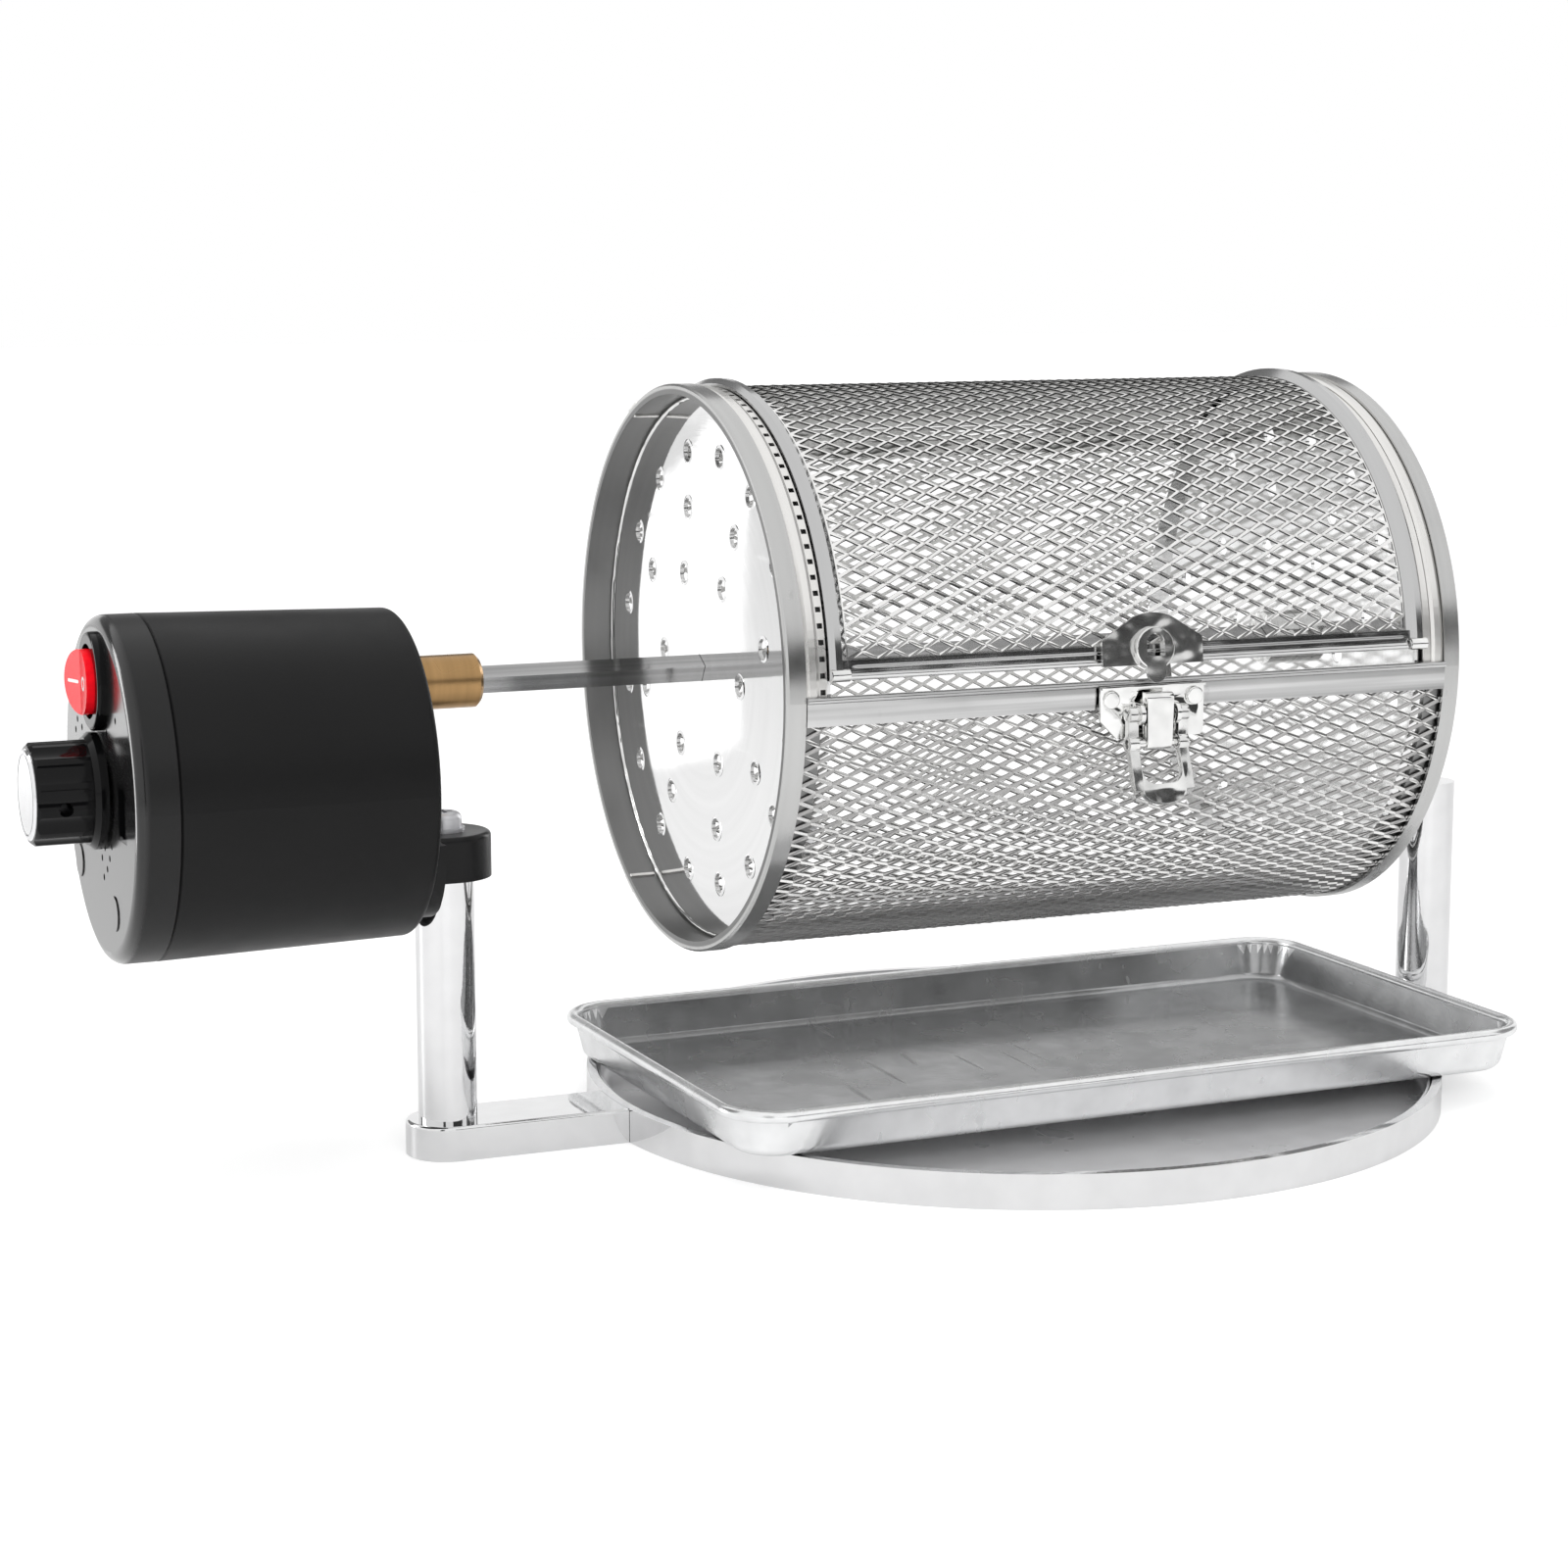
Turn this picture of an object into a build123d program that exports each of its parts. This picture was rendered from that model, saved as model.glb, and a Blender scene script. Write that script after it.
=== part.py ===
from build123d import *
import math
import os

# Electric drum roaster, millimetres.
# X runs along the drum from the motor to the right post, Y points away from the viewer, Z is up.
# The origin is the centre of the base hoop on the floor.

# Clearances
running = 0.05
loose = 0.1
seat = 0.05
free_gap = 0.4

# Base
hoop_diameter = 222.8
hoop_wall = 2.4
hoop_height = 8.6
plate_thickness = 0.8
pan_wall = 0.6
pan_gap = 0.6
pan_rim_drop = 0.9
pan_corner = 3.0
arm_width = 20.8
arm_edge = 0.8
post_diameter = 14.4
left_arm_reach = 43.0
right_arm_reach = 16.0
post_screw_diameter = 5.0
post_screw_head = 9.0
post_screw_head_height = 3.2
post_screw_reach = 14.0

# Catch tray
tray_length = 225.0
tray_width = 127.0
tray_height = 12.2
tray_corner = 15.0
tray_sheet = 0.8
tray_flare = 14.0
tray_bead = 3.0
tray_centre_x = 5.2
tray_centre_y = -6.0
tray_turn = 1.0
tray_post_gap = 2.5

# Drum
drum_axis_height = 116.2
drum_diameter = 140.0
drum_length = 182.2
drum_centre_x = -2.65
rim_band_width = 4.7
rim_sheet = 0.8
rim_web = 1.0
rim_collar_width = 9.0
mesh_sheet = 0.8
mesh_end_gap = 0.2
mesh_columns = 8
mesh_row_pitch = 11.0
mesh_strand = 2.8
mesh_border = 3.0
disc_recess = 7.8
disc_sheet = 0.8
disc_dome = 1.4
disc_flange = 4.0
disc_hole = 5.0
disc_hole_counts = (16, 8, 6)
disc_hole_radii = (53.6, 40.0, 25.0)
disc_hole_turns = (11.8, 32.0, 4.0)
hub_diameter = 14.0
hub_length = 8.0

# Angles around the drum, measured from the front upwards
body_rail_low = -4.5
body_rail_high = 1.1
body_mesh_front = 0.9
lid_front = 4.0
lid_rail_top = 7.75
lid_rear_rail_start = 120.5
lid_rear = 125.5
hinge_angle = 128.5
body_rear_start = 131.5
body_rear_end = 137.0
full_turn = 360.0

# Rails and lid frame
rail_sheet = 1.2
rail_bead = 1.6
lid_rail_rise = 1.1
lid_rail_bead = 1.8
lid_rail_bead_sink = 0.6
strip_width = 10.2
strip_fold_width = 3.0
strip_fold_rise = 0.6
lid_band_offset = 10.6
lid_band_width = 4.7
lid_band_rise = 2.0
lid_band_shoulder = 1.2
lid_band_crest = 1.6

# Hinge
hinge_radius = 71.6
hinge_pin_diameter = 2.2
knuckle_diameter = 4.4
hinge_spacing = 96.0
hinge_length = 24.0
lid_knuckle_length = 9.0
knuckle_gap = 0.4
leaf_sheet = 0.9
leaf_margin = 0.8
pin_overhang = 0.6

# Latch
latch_sheet = 0.8
base_width = 28.0
base_top = 0.2
base_low = -12.6
base_standoff = 1.2
base_wing_cut = 4.5
base_foot_corner = 1.5
base_lip = 0.9
ear_thickness = 1.1
ear_inner = 4.3
ear_height = 5.4
keeper_angle = 7.0
keeper_width = 27.2
keeper_low = -3.9
keeper_side = 2.4
keeper_shoulder = 7.6
keeper_shoulder_width = 10.0
keeper_crown = 8.5
keeper_ring_radius = 5.2
keeper_ring_rise = 1.6
keeper_slot_width = 4.8
keeper_slot_low = -1.9
keeper_slot_high = 3.6
tongue_width = 5.2
tongue_tip = -8.2
lever_pivot_drop = 6.5
lever_pivot_reach = 74.2
lever_width = 16.0
lever_arm_width = 2.6
lever_arm_depth = 2.0
lever_blade_length = 11.6
lever_blade_bend = 20.0
lever_bar = 1.5
lever_inner_radius = 3.4
lever_tip_width = 11.8
lever_tip_length = 3.3
trunnion_diameter = 2.2
claw_width = 7.2
claw_taper = 0.6
claw_pivot_drop = 13.6
claw_top_drop = 1.4
claw_depth = 2.6
claw_back = 73.5
claw_roll = 1.7
claw_pin_diameter = 2.0
rivet_diameter = 2.4
rivet_head = 4.4
rivet_head_height = 0.9
rivet_spacing = 22.6
rivet_drop = 3.0

# Shaft and coupling
shaft_side = 4.7
shaft_roll = -31.0
shaft_fit = 0.15
journal_diameter = 4.6
journal_inset = 16.0
journal_overhang = 3.0
bush_diameter = 9.0
bush_flange = 12.0
bush_flange_thickness = 1.6
post_above_axis = 7.6
post_shoulder_drop = 42.0
tongue_flat = 2.6
coupling_diameter = 13.0
coupling_length = 20.0
coupling_gap = 1.0
coupling_bore_depth = 9.0
coupling_socket_depth = 10.0
coupling_chamfer = 0.9
grub_diameter = 4.0
grub_length = 3.4
grub_inset = 5.5
grub_turn = 180.0

# Motor unit
motor_drop = 21.0
motor_rear_gap = 12.0
body_length = 60.6
cap_depth = 10.0
body_radius = 40.6
body_rear_radius = 39.3
body_wall = 2.2
body_rear_wall = 3.0
body_edge = 1.6
seam_bevel = 0.4
cap_face = 2.5
cap_edge = 3.0
spigot_length = 3.0
spigot_wall = 1.8
spigot_gap = 0.2
cap_screw_places = ((-12.85, -26.8), (25.7, -20.7))
cap_screw_diameter = 3.4
cap_screw_head = 6.4
cap_screw_head_height = 2.4
cap_boss = 10.4
body_boss = 6.6
boss_floor = 1.0
boss_web = 3.0
plug_diameter = 8.2
plug_thickness = 1.6
plug_proud = 0.3
vent_diameter = 1.6
vent_places = (
    (-3.8, -12.9),
    (-11.4, -11.4),
    (-0.4, -15.8),
    (-8.9, -14.6),
    (-5.9, -17.6),
    (-1.9, -20.1),
    (23.1, -12.6),
    (23.4, 13.6),
    (18.3, 12.3),
    (25.7, 10.8),
    (-19.75, 18.8),
    (-5.95, 13.9),
    (-9.9, 14.7),
)

# Bracket
bracket_thickness = 6.5
bracket_half_width = 20.0
bracket_drop = 35.2
bracket_top_drop = 15.2
bracket_corner = 17.0
lug_drop = 26.2
lug_half_width = 11.5
bracket_edge = 1.2
bracket_bolt_side = 13.0
bracket_bolt_drop = 25.2
bracket_bolt_diameter = 4.0
bracket_bolt_head = 7.6
bracket_bolt_head_height = 2.6
bracket_bolt_reach = 5.0
top_screw_diameter = 5.0
top_screw_head = 9.0
top_screw_head_height = 3.8
top_screw_crown = 1.8
top_screw_reach = 12.0
top_washer = 10.5
top_washer_thickness = 0.9
cross_width = 1.1
cross_length = 4.6
cross_depth = 1.5

# Switch
switch_rise = 25.5
bezel_diameter = 23.0
bezel_height = 2.0
bezel_edge = 0.8
switch_opening = 17.4
switch_barrel = 20.2
switch_barrel_depth = 12.0
switch_cavity_depth = 7.4
terminal_width = 6.3
terminal_thickness = 0.8
terminal_length = 6.0
terminal_spacing = 9.0
rocker_diameter = 15.2
rocker_front = 3.85
rocker_slope = 9.0
rocker_depth = 4.6
rocker_tilt = 8.0
rocker_pivot_depth = 1.6
rocker_pin_diameter = 1.8
rocker_pin_reach = 0.3

# Speed control
knob_diameter = 24.0
knob_length = 16.0
knob_gap = 0.5
knob_skirt_diameter = 27.4
knob_skirt_height = 3.0
knob_skirt_edge = 1.2
knob_flutes = 12
knob_flute_depth = 0.7
knob_flute_diameter = 12.0
knob_top_edge = 0.8
knob_recess_diameter = 14.0
knob_recess_depth = 4.2
knob_face_diameter = 21.4
knob_face_thickness = 1.3
knob_face_proud = 0.6
knob_face_edge = 0.5
knob_groove_radius = 9.4
knob_groove_width = 0.5
knob_groove_depth = 0.3
knob_pointer_width = 1.2
knob_grub_hole = 3.2
knob_grub_roll = -11.0
pot_shaft_diameter = 6.0
pot_shaft_reach = 11.5
pot_bushing_diameter = 8.6
pot_bushing_reach = 3.0
pot_diameter = 16.5
pot_depth = 8.0
pot_bore_depth = 4.0
board_width = 36.0
board_high = 11.0
board_low = -17.0
board_thickness = 1.6
capacitor_diameter = 6.0
capacitor_height = 6.0
capacitor_side = 13.0
capacitor_drop = 12.0
regulator_width = 8.0
regulator_thickness = 3.0
regulator_height = 6.5
regulator_drop = 13.0

# Power inlet beside the knob
inlet_side = -23.8
inlet_rise = -1.7
inlet_width = 8.5
inlet_height = 13.0
inlet_depth = 12.0
inlet_wall = 1.0
inlet_floor = 2.0
inlet_tongue_width = 2.4
inlet_tongue_height = 6.4
inlet_tongue_length = 7.5

# Gear motor
armature_drop = 10.0
pillar_height = 18.0
pillar_diameter = 6.0
pillar_places = ((-27.0, 12.0), (27.5, -8.0), (-6.0, -31.0))
gear_plate_thickness = 1.6
gear_plate_radius = 35.0
can_diameter = 36.0
can_length = 29.0
can_wall = 1.2
can_end = 2.0
can_boss = 10.0
rotor_diameter = 24.0
rotor_length = 18.0
rotor_inset = 5.0
armature_shaft = 3.0
pinion_overhang = 0.8
output_boss = 16.0
output_boss_length = 4.0
output_shaft_diameter = 7.0
idler_pin_diameter = 3.0
idler_pin_seat = 1.8
fast_module = 0.8
slow_module = 1.0
pinion_teeth = 12
idler_teeth = 36
idler_small_teeth = 12
output_teeth = 26
tooth_addendum = 0.8
tooth_dedendum = 1.1
tooth_thinning = 0.2
pressure_angle = 20.0
pinion_width = 5.0
idler_width = 4.0
idler_small_width = 8.0
output_gear_width = 6.5
gear_end_gap = 0.8
flank_steps = 4

# Places worked out from the values above
hoop_radius = hoop_diameter / 2
tray_end = tray_centre_x + tray_length / 2
left_post_x = -hoop_radius - left_arm_reach
right_post_x = max(hoop_radius + right_arm_reach, tray_end + tray_post_gap + post_diameter / 2)
tongue_x = right_post_x - tongue_flat
drum_radius = drum_diameter / 2
drum_left = drum_centre_x - drum_length / 2
drum_right = drum_centre_x + drum_length / 2
mesh_outer = drum_radius - rim_sheet - seat
mesh_inner = mesh_outer - mesh_sheet
collar_outer = mesh_inner - seat
collar_inner = collar_outer - rim_sheet
rail_inner = mesh_outer + seat
rail_outer = rail_inner + rail_sheet
lid_rail_outer = mesh_outer + lid_rail_rise
motor_axis_height = drum_axis_height - motor_drop
body_rear = left_post_x - motor_rear_gap
body_seam = body_rear - body_length
face_x = body_seam - cap_depth
wall_inside = body_rear - body_rear_wall
plate_rear = wall_inside - pillar_height
plate_front = plate_rear - gear_plate_thickness
can_front = plate_front - can_length
boss_start = body_seam + spigot_length + free_gap
boss_end = can_front - free_gap
armature_height = motor_axis_height - armature_drop
fast_distance = fast_module * (pinion_teeth + idler_teeth) / 2
slow_distance = slow_module * (idler_small_teeth + output_teeth) / 2
axis_distance = drum_axis_height - armature_height
idler_rise = (fast_distance**2 - slow_distance**2 + axis_distance**2) / (2 * axis_distance)
idler_y = math.sqrt(fast_distance**2 - idler_rise**2)
idler_height = armature_height + idler_rise
tray_bottom = hoop_height + seat
base_back = drum_radius + base_standoff
base_front = base_back + latch_sheet
bracket_low = motor_axis_height - bracket_drop
bracket_high = motor_axis_height - bracket_top_drop
lug_low = motor_axis_height - lug_drop
bracket_bolt_height = motor_axis_height - bracket_bolt_drop
lever_pivot_z = drum_axis_height - lever_pivot_drop
claw_pivot_z = drum_axis_height - claw_pivot_drop


# Shared shapes
def rod(x0, x1, y, z, diameter):
    """Round bar along X between two stations."""
    plane = Plane(origin=(x0, y, z), x_dir=(0, 1, 0), z_dir=(1, 0, 0))
    return extrude(plane * Circle(diameter / 2), amount=x1 - x0)


def stud(x, y, z0, z1, diameter):
    """Round bar along Z between two heights."""
    return extrude(Plane.XY.offset(z0) * Pos(x, y) * Circle(diameter / 2), amount=z1 - z0)


def depth_rod(x, z, y0, y1, diameter):
    """Round bar along Y between two depths."""
    plane = Plane(origin=(x, y0, z), x_dir=(1, 0, 0), z_dir=(0, 1, 0))
    return extrude(plane * Circle(diameter / 2), amount=y1 - y0)


def block(x0, x1, y0, y1, z0, z1):
    """Square-edged block between opposite corners."""
    centre = Pos((x0 + x1) / 2, (y0 + y1) / 2, (z0 + z1) / 2)
    return centre * Box(abs(x1 - x0), abs(y1 - y0), abs(z1 - z0))


def turned(points, axis_height, start=0.0, span=full_turn):
    """Turn a profile of (x, radius) points about an X axis, from the front upwards."""
    outline = make_face(Polyline(*[(x, -r) for x, r in points], close=True))
    return spun(outline, axis_height, start, span)


def spun(outline, axis_height, start=0.0, span=full_turn):
    """Turn a flat outline, drawn in front of an X axis at the given height, about that axis."""
    plane = Plane(origin=(0, 0, axis_height), x_dir=(1, 0, 0), z_dir=(0, 0, 1))
    axis = Axis((0, 0, axis_height), (-1, 0, 0))
    return revolve((plane * outline).rotate(axis, start), axis=axis, revolution_arc=span)


def sheet_arc(x0, x1, r0, r1, start, end):
    """Curved strip on the drum between two stations, radii and angles."""
    points = ((x0, r0), (x1, r0), (x1, r1), (x0, r1))
    return turned(points, drum_axis_height, start, end - start)


def on_drum(x, angle, radius):
    """Place on the drum at an angle from the front upwards."""
    turn = math.radians(angle)
    return (x, -radius * math.cos(turn), drum_axis_height + radius * math.sin(turn))


def drum_rod(x0, x1, angle, radius, diameter):
    """Round bar along the drum at an angle and radius."""
    place = on_drum(x0, angle, radius)
    return rod(x0, x1, place[1], place[2], diameter)


def square_bar(x0, x1, side):
    """Square bar on the drum's axis, rolled like the drum shaft."""
    plane = Plane(origin=(x0, 0, drum_axis_height), x_dir=(0, 1, 0), z_dir=(1, 0, 0))
    return extrude(plane * Rot(0, 0, -shaft_roll) * Rectangle(side, side), amount=x1 - x0)


def cross_slot(x, y, top):
    """Cross-shaped driver slot cut down from a screw's top."""
    low = top - cross_depth
    half_long = cross_length / 2
    half_wide = cross_width / 2
    one = block(x - half_long, x + half_long, y - half_wide, y + half_wide, low, top)
    two = block(x - half_wide, x + half_wide, y - half_long, y + half_long, low, top)
    return one + two


# Base and stand
def make_base_hoop():
    outer = extrude(Circle(hoop_radius), amount=hoop_height)
    inner = extrude(Circle(hoop_radius - hoop_wall), amount=hoop_height)
    return outer - inner


def make_base_plate():
    return extrude(Circle(hoop_radius - hoop_wall - seat), amount=plate_thickness)


def make_drip_pan():
    radius = hoop_radius - hoop_wall - pan_gap
    low = plate_thickness + seat
    height = hoop_height - pan_rim_drop - low
    outer = extrude(Plane.XY.offset(low) * Circle(radius), amount=height)
    outer = fillet(outer.edges().group_by(Axis.Z)[0], pan_corner)
    inner = extrude(Plane.XY.offset(low + pan_wall) * Circle(radius - pan_wall), amount=height)
    inner = fillet(inner.edges().group_by(Axis.Z)[0], pan_corner - pan_wall)
    return outer - inner


def make_arm(post_x):
    side = 1 if post_x > 0 else -1
    outline = Pos(post_x, 0) * Circle(arm_width / 2)
    outline += Pos(post_x / 2, 0) * Rectangle(abs(post_x), arm_width)
    arm = extrude(outline, amount=hoop_height)
    arm = fillet(arm.edges().group_by(Axis.Z)[-1], arm_edge)
    arm -= extrude(Circle(hoop_radius + seat), amount=hoop_height)
    arm -= stud(post_x, 0, 0, hoop_height, post_screw_diameter + 2 * loose)
    arm -= stud(post_x, 0, 0, post_screw_head_height + free_gap, post_screw_head + 2 * loose)
    return arm.solids().sort_by(Axis.X)[-1 if side > 0 else 0]


def make_left_post():
    post = stud(left_post_x, 0, hoop_height, lug_low, post_diameter)
    screw_top = hoop_height + post_screw_reach
    post -= stud(left_post_x, 0, hoop_height, screw_top, post_screw_diameter + 2 * loose)
    low = lug_low - top_screw_reach
    return post - stud(left_post_x, 0, low, lug_low, top_screw_diameter + 2 * loose)


def make_right_post():
    top = drum_axis_height + post_above_axis
    post = stud(right_post_x, 0, hoop_height, top, post_diameter)
    screw_top = hoop_height + post_screw_reach
    post -= stud(right_post_x, 0, hoop_height, screw_top, post_screw_diameter + 2 * loose)
    x0 = right_post_x - post_diameter
    x1 = right_post_x + post_diameter
    shoulder = drum_axis_height - post_shoulder_drop
    post -= block(tongue_x, x1, -post_diameter, post_diameter, shoulder, top)
    half = bush_diameter / 2 + seat
    post -= rod(x0, x1, 0, drum_axis_height, 2 * half)
    return post - block(x0, x1, -half, half, drum_axis_height, top)


def make_post_screws():
    screws = []
    for post_x in (left_post_x, right_post_x):
        head = stud(post_x, 0, free_gap, free_gap + post_screw_head_height, post_screw_head)
        top = hoop_height + post_screw_reach - free_gap
        screws.append(head + stud(post_x, 0, free_gap, top, post_screw_diameter))
    return Compound(screws)


def make_shaft_bush():
    x0 = right_post_x - post_diameter / 2 - free_gap
    x1 = tongue_x + free_gap
    bush = rod(x0, x1, 0, drum_axis_height, bush_diameter)
    bush += rod(x0 - bush_flange_thickness, x0, 0, drum_axis_height, bush_flange)
    bush += rod(x1, x1 + bush_flange_thickness, 0, drum_axis_height, bush_flange)
    bore = journal_diameter + 2 * running
    return bush - rod(x0 - bush_flange, x1 + bush_flange, 0, drum_axis_height, bore)


# Catch tray
def make_catch_tray():
    inset = tray_height * math.tan(math.radians(tray_flare))
    place = Pos(tray_centre_x, tray_centre_y) * Rot(0, 0, tray_turn)
    length = tray_length - tray_bead
    width = tray_width - tray_bead
    corner = tray_corner - tray_bead / 2
    low = RectangleRounded(length - 2 * inset, width - 2 * inset, corner - inset)
    outer = extrude(low, amount=tray_height - tray_bead / 2, taper=-tray_flare)
    outer = fillet(outer.edges().group_by(Axis.Z)[0], tray_bead)
    floor_length = length - 2 * inset - 2 * tray_sheet
    floor_width = width - 2 * inset - 2 * tray_sheet
    hollow = RectangleRounded(floor_length, floor_width, corner - inset - tray_sheet)
    inner = extrude(Plane.XY.offset(tray_sheet) * hollow, amount=tray_height, taper=-tray_flare)
    inner = fillet(inner.edges().group_by(Axis.Z)[0], tray_bead - tray_sheet)
    rim_height = tray_height - tray_bead / 2
    path = Plane.XY.offset(rim_height) * RectangleRounded(length, width, corner)
    start = path.wire() @ 0
    along = path.wire() % 0
    section = Plane(origin=start, z_dir=along) * Circle(tray_bead / 2)
    rim = sweep(section, path=path.wire())
    tray = outer - inner + rim
    return Pos(0, 0, tray_bottom) * place * tray


# Drum
def make_rim(flip):
    points = (
        (0, collar_inner),
        (0, drum_radius - rim_web / 2),
        (rim_web / 2, drum_radius),
        (rim_band_width, drum_radius),
        (rim_band_width, drum_radius - rim_sheet),
        (rim_web, drum_radius - rim_sheet),
        (rim_web, collar_outer),
        (rim_collar_width, collar_outer),
        (rim_collar_width, collar_inner),
    )
    return turned([(end_x(x, flip), r) for x, r in points], drum_axis_height)


def end_x(offset, flip):
    """Station at a distance inside the drum's left or right end."""
    return drum_right - offset if flip else drum_left + offset


def dome_arc(flip, rim, offset):
    """Arc of the end disc's dome, from the axis out to a rim radius."""
    ball = (rim**2 + disc_dome**2) / (2 * disc_dome)
    places = []
    for radius in (0, rim / 2, rim):
        rise = math.sqrt(ball**2 - radius**2) - (ball - disc_dome)
        places.append((end_x(disc_recess + offset - rise, flip), -radius))
    return ThreePointArc(*places)


def make_end_disc(flip):
    rim = collar_inner - seat
    edge = disc_recess
    front = dome_arc(flip, rim, 0)
    back = dome_arc(flip, rim - disc_sheet, disc_sheet)
    points = ((edge, rim), (edge + disc_flange, rim), (edge + disc_flange, rim - disc_sheet))
    flange = Polyline(*[(end_x(x, flip), -r) for x, r in points], back @ 1)
    middle = Line(front @ 0, back @ 0)
    disc = spun(make_face([front, *flange.edges(), back, middle]), drum_axis_height)
    x0 = min(end_x(0, flip), end_x(2 * disc_recess, flip))
    x1 = x0 + 2 * disc_recess
    holes = []
    for count, radius, offset in zip(disc_hole_counts, disc_hole_radii, disc_hole_turns):
        for step in range(count):
            turn = math.radians(offset + full_turn * step / count)
            y = radius * math.cos(turn)
            z = drum_axis_height + radius * math.sin(turn)
            holes.append(rod(x0, x1, y, z, disc_hole))
    disc -= holes
    return disc - square_bar(x0, x1, shaft_side + 2 * shaft_fit)


def make_drum_hubs():
    hubs = []
    for flip in (False, True):
        x0 = end_x(disc_recess - disc_dome + disc_sheet + loose, flip)
        x1 = end_x(disc_recess - disc_dome + disc_sheet + hub_length, flip)
        low = min(x0, x1)
        high = max(x0, x1)
        hub = rod(low, high, 0, drum_axis_height, hub_diameter)
        hubs.append(hub - square_bar(low, high, shaft_side + 2 * shaft_fit))
    return Compound(hubs)


def mesh_diamond(pitch, row_pitch):
    """Cutter of one mesh opening, for cells of a length along and a length around."""
    share = 1 - mesh_strand * math.hypot(1 / pitch, 1 / row_pitch)
    along = pitch / 2 * share
    around = row_pitch / 2 * share
    corners = ((along, 0), (0, around), (-along, 0), (0, -around))
    diamond = make_face(Polyline(*corners, close=True))
    return extrude(diamond, amount=mesh_sheet, both=True)


def mesh_openings(x0, x1, low, high):
    """Cutters in staggered rows between two stations and angles, inside a border."""
    edge = math.degrees(mesh_border / mesh_outer)
    rows = max(1, round(math.radians(high - low - 2 * edge) * mesh_outer / mesh_row_pitch))
    row_turn = (high - low - 2 * edge) / rows
    pitch = (x1 - x0 - 2 * mesh_border) / mesh_columns
    cutter = mesh_diamond(pitch, math.radians(row_turn) * mesh_outer)
    cuts = []
    for row in range(2 * rows - 1):
        late = row % 2
        angle = low + edge + row_turn * (row + 1) / 2
        turn = math.radians(angle)
        out = (0, -math.cos(turn), math.sin(turn))
        for column in range(mesh_columns - late):
            x = x0 + mesh_border + pitch * (column + (1 + late) / 2)
            place = on_drum(x, angle, mesh_outer - mesh_sheet / 2)
            cuts.append(Plane(origin=place, x_dir=(1, 0, 0), z_dir=out) * cutter)
    return cuts


def make_body_mesh():
    x0 = drum_left + rim_web + mesh_end_gap
    x1 = drum_right - rim_web - mesh_end_gap
    sheet = sheet_arc(x0, x1, mesh_inner, mesh_outer, body_rear_start, full_turn + body_mesh_front)
    x0 = drum_left + rim_band_width
    x1 = drum_right - rim_band_width
    return sheet - mesh_openings(x0, x1, body_rear_end, full_turn + body_rail_low)


def make_opening_strips():
    gap = math.degrees(loose / mesh_outer)
    strips = []
    for flip in (False, True):
        x0 = end_x(rim_web + mesh_end_gap, flip)
        x1 = end_x(strip_width, flip)
        low = body_mesh_front + gap
        strip = sheet_arc(x0, x1, mesh_inner, mesh_outer, low, body_rear_start - gap)
        fold_start = end_x(rim_band_width + loose, flip)
        fold_end = end_x(rim_band_width + loose + strip_fold_width, flip)
        crest = mesh_outer + strip_fold_rise
        low = body_rail_high + gap
        strip += sheet_arc(fold_start, fold_end, mesh_inner, crest, low, body_rear_start - gap)
        strips.append(strip)
    return Compound(strips)


def make_body_front_rail():
    x0 = drum_left + rim_band_width + loose
    x1 = drum_right - rim_band_width - loose
    rail = sheet_arc(x0, x1, rail_inner, rail_outer, body_rail_low, body_rail_high)
    half_bead = math.degrees(rail_bead / 2 / rail_outer)
    bead_radius = drum_radius + base_standoff - seat - rail_bead / 2
    rail += drum_rod(x0, x1, body_rail_high - half_bead, bead_radius, rail_bead)
    return rail - rivet_shanks(loose)


def make_body_rear_rail():
    x0 = drum_left + rim_band_width + loose
    x1 = drum_right - rim_band_width - loose
    return sheet_arc(x0, x1, rail_inner, rail_outer, body_rear_start, body_rear_end)


# Lid
def make_lid_side_bands():
    bands = []
    low = mesh_inner
    crest = mesh_outer + lid_band_rise
    shoulder = mesh_outer + lid_band_rise - lid_band_shoulder
    points = (
        (lid_band_offset, low),
        (lid_band_offset, shoulder),
        (lid_band_offset + lid_band_shoulder, crest),
        (lid_band_offset + lid_band_shoulder + lid_band_crest, crest),
        (lid_band_offset + lid_band_width, mesh_outer),
        (lid_band_offset + lid_band_width, low),
    )
    for flip in (False, True):
        profile = [(end_x(x, flip), r) for x, r in points]
        bands.append(turned(profile, drum_axis_height, lid_front, lid_rear - lid_front))
    return Compound(bands)


def lid_span():
    """Stations between the two lid side bands."""
    inset = lid_band_offset + lid_band_width + seat
    return drum_left + inset, drum_right - inset


def make_lid_front_rail():
    x0, x1 = lid_span()
    rail = sheet_arc(x0, x1, mesh_inner, lid_rail_outer, lid_front, lid_rail_top)
    half_bead = math.degrees(lid_rail_bead / 2 / lid_rail_outer)
    bead_radius = lid_rail_outer - lid_rail_bead_sink
    return rail + drum_rod(x0, x1, lid_front + half_bead, bead_radius, lid_rail_bead)


def make_lid_rear_rail():
    x0, x1 = lid_span()
    return sheet_arc(x0, x1, mesh_inner, lid_rail_outer, lid_rear_rail_start, lid_rear)


def make_lid_mesh():
    x0, x1 = lid_span()
    gap = math.degrees(seat / mesh_outer)
    low = lid_rail_top + gap
    high = lid_rear_rail_start - gap
    sheet = sheet_arc(x0, x1, mesh_inner, mesh_outer, low, high)
    return sheet - mesh_openings(x0, x1, low, high)


# Hinge
def hinge_stations():
    """Left ends of the two hinges."""
    first = drum_centre_x - hinge_spacing / 2 - hinge_length / 2
    return first, first + hinge_spacing


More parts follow.
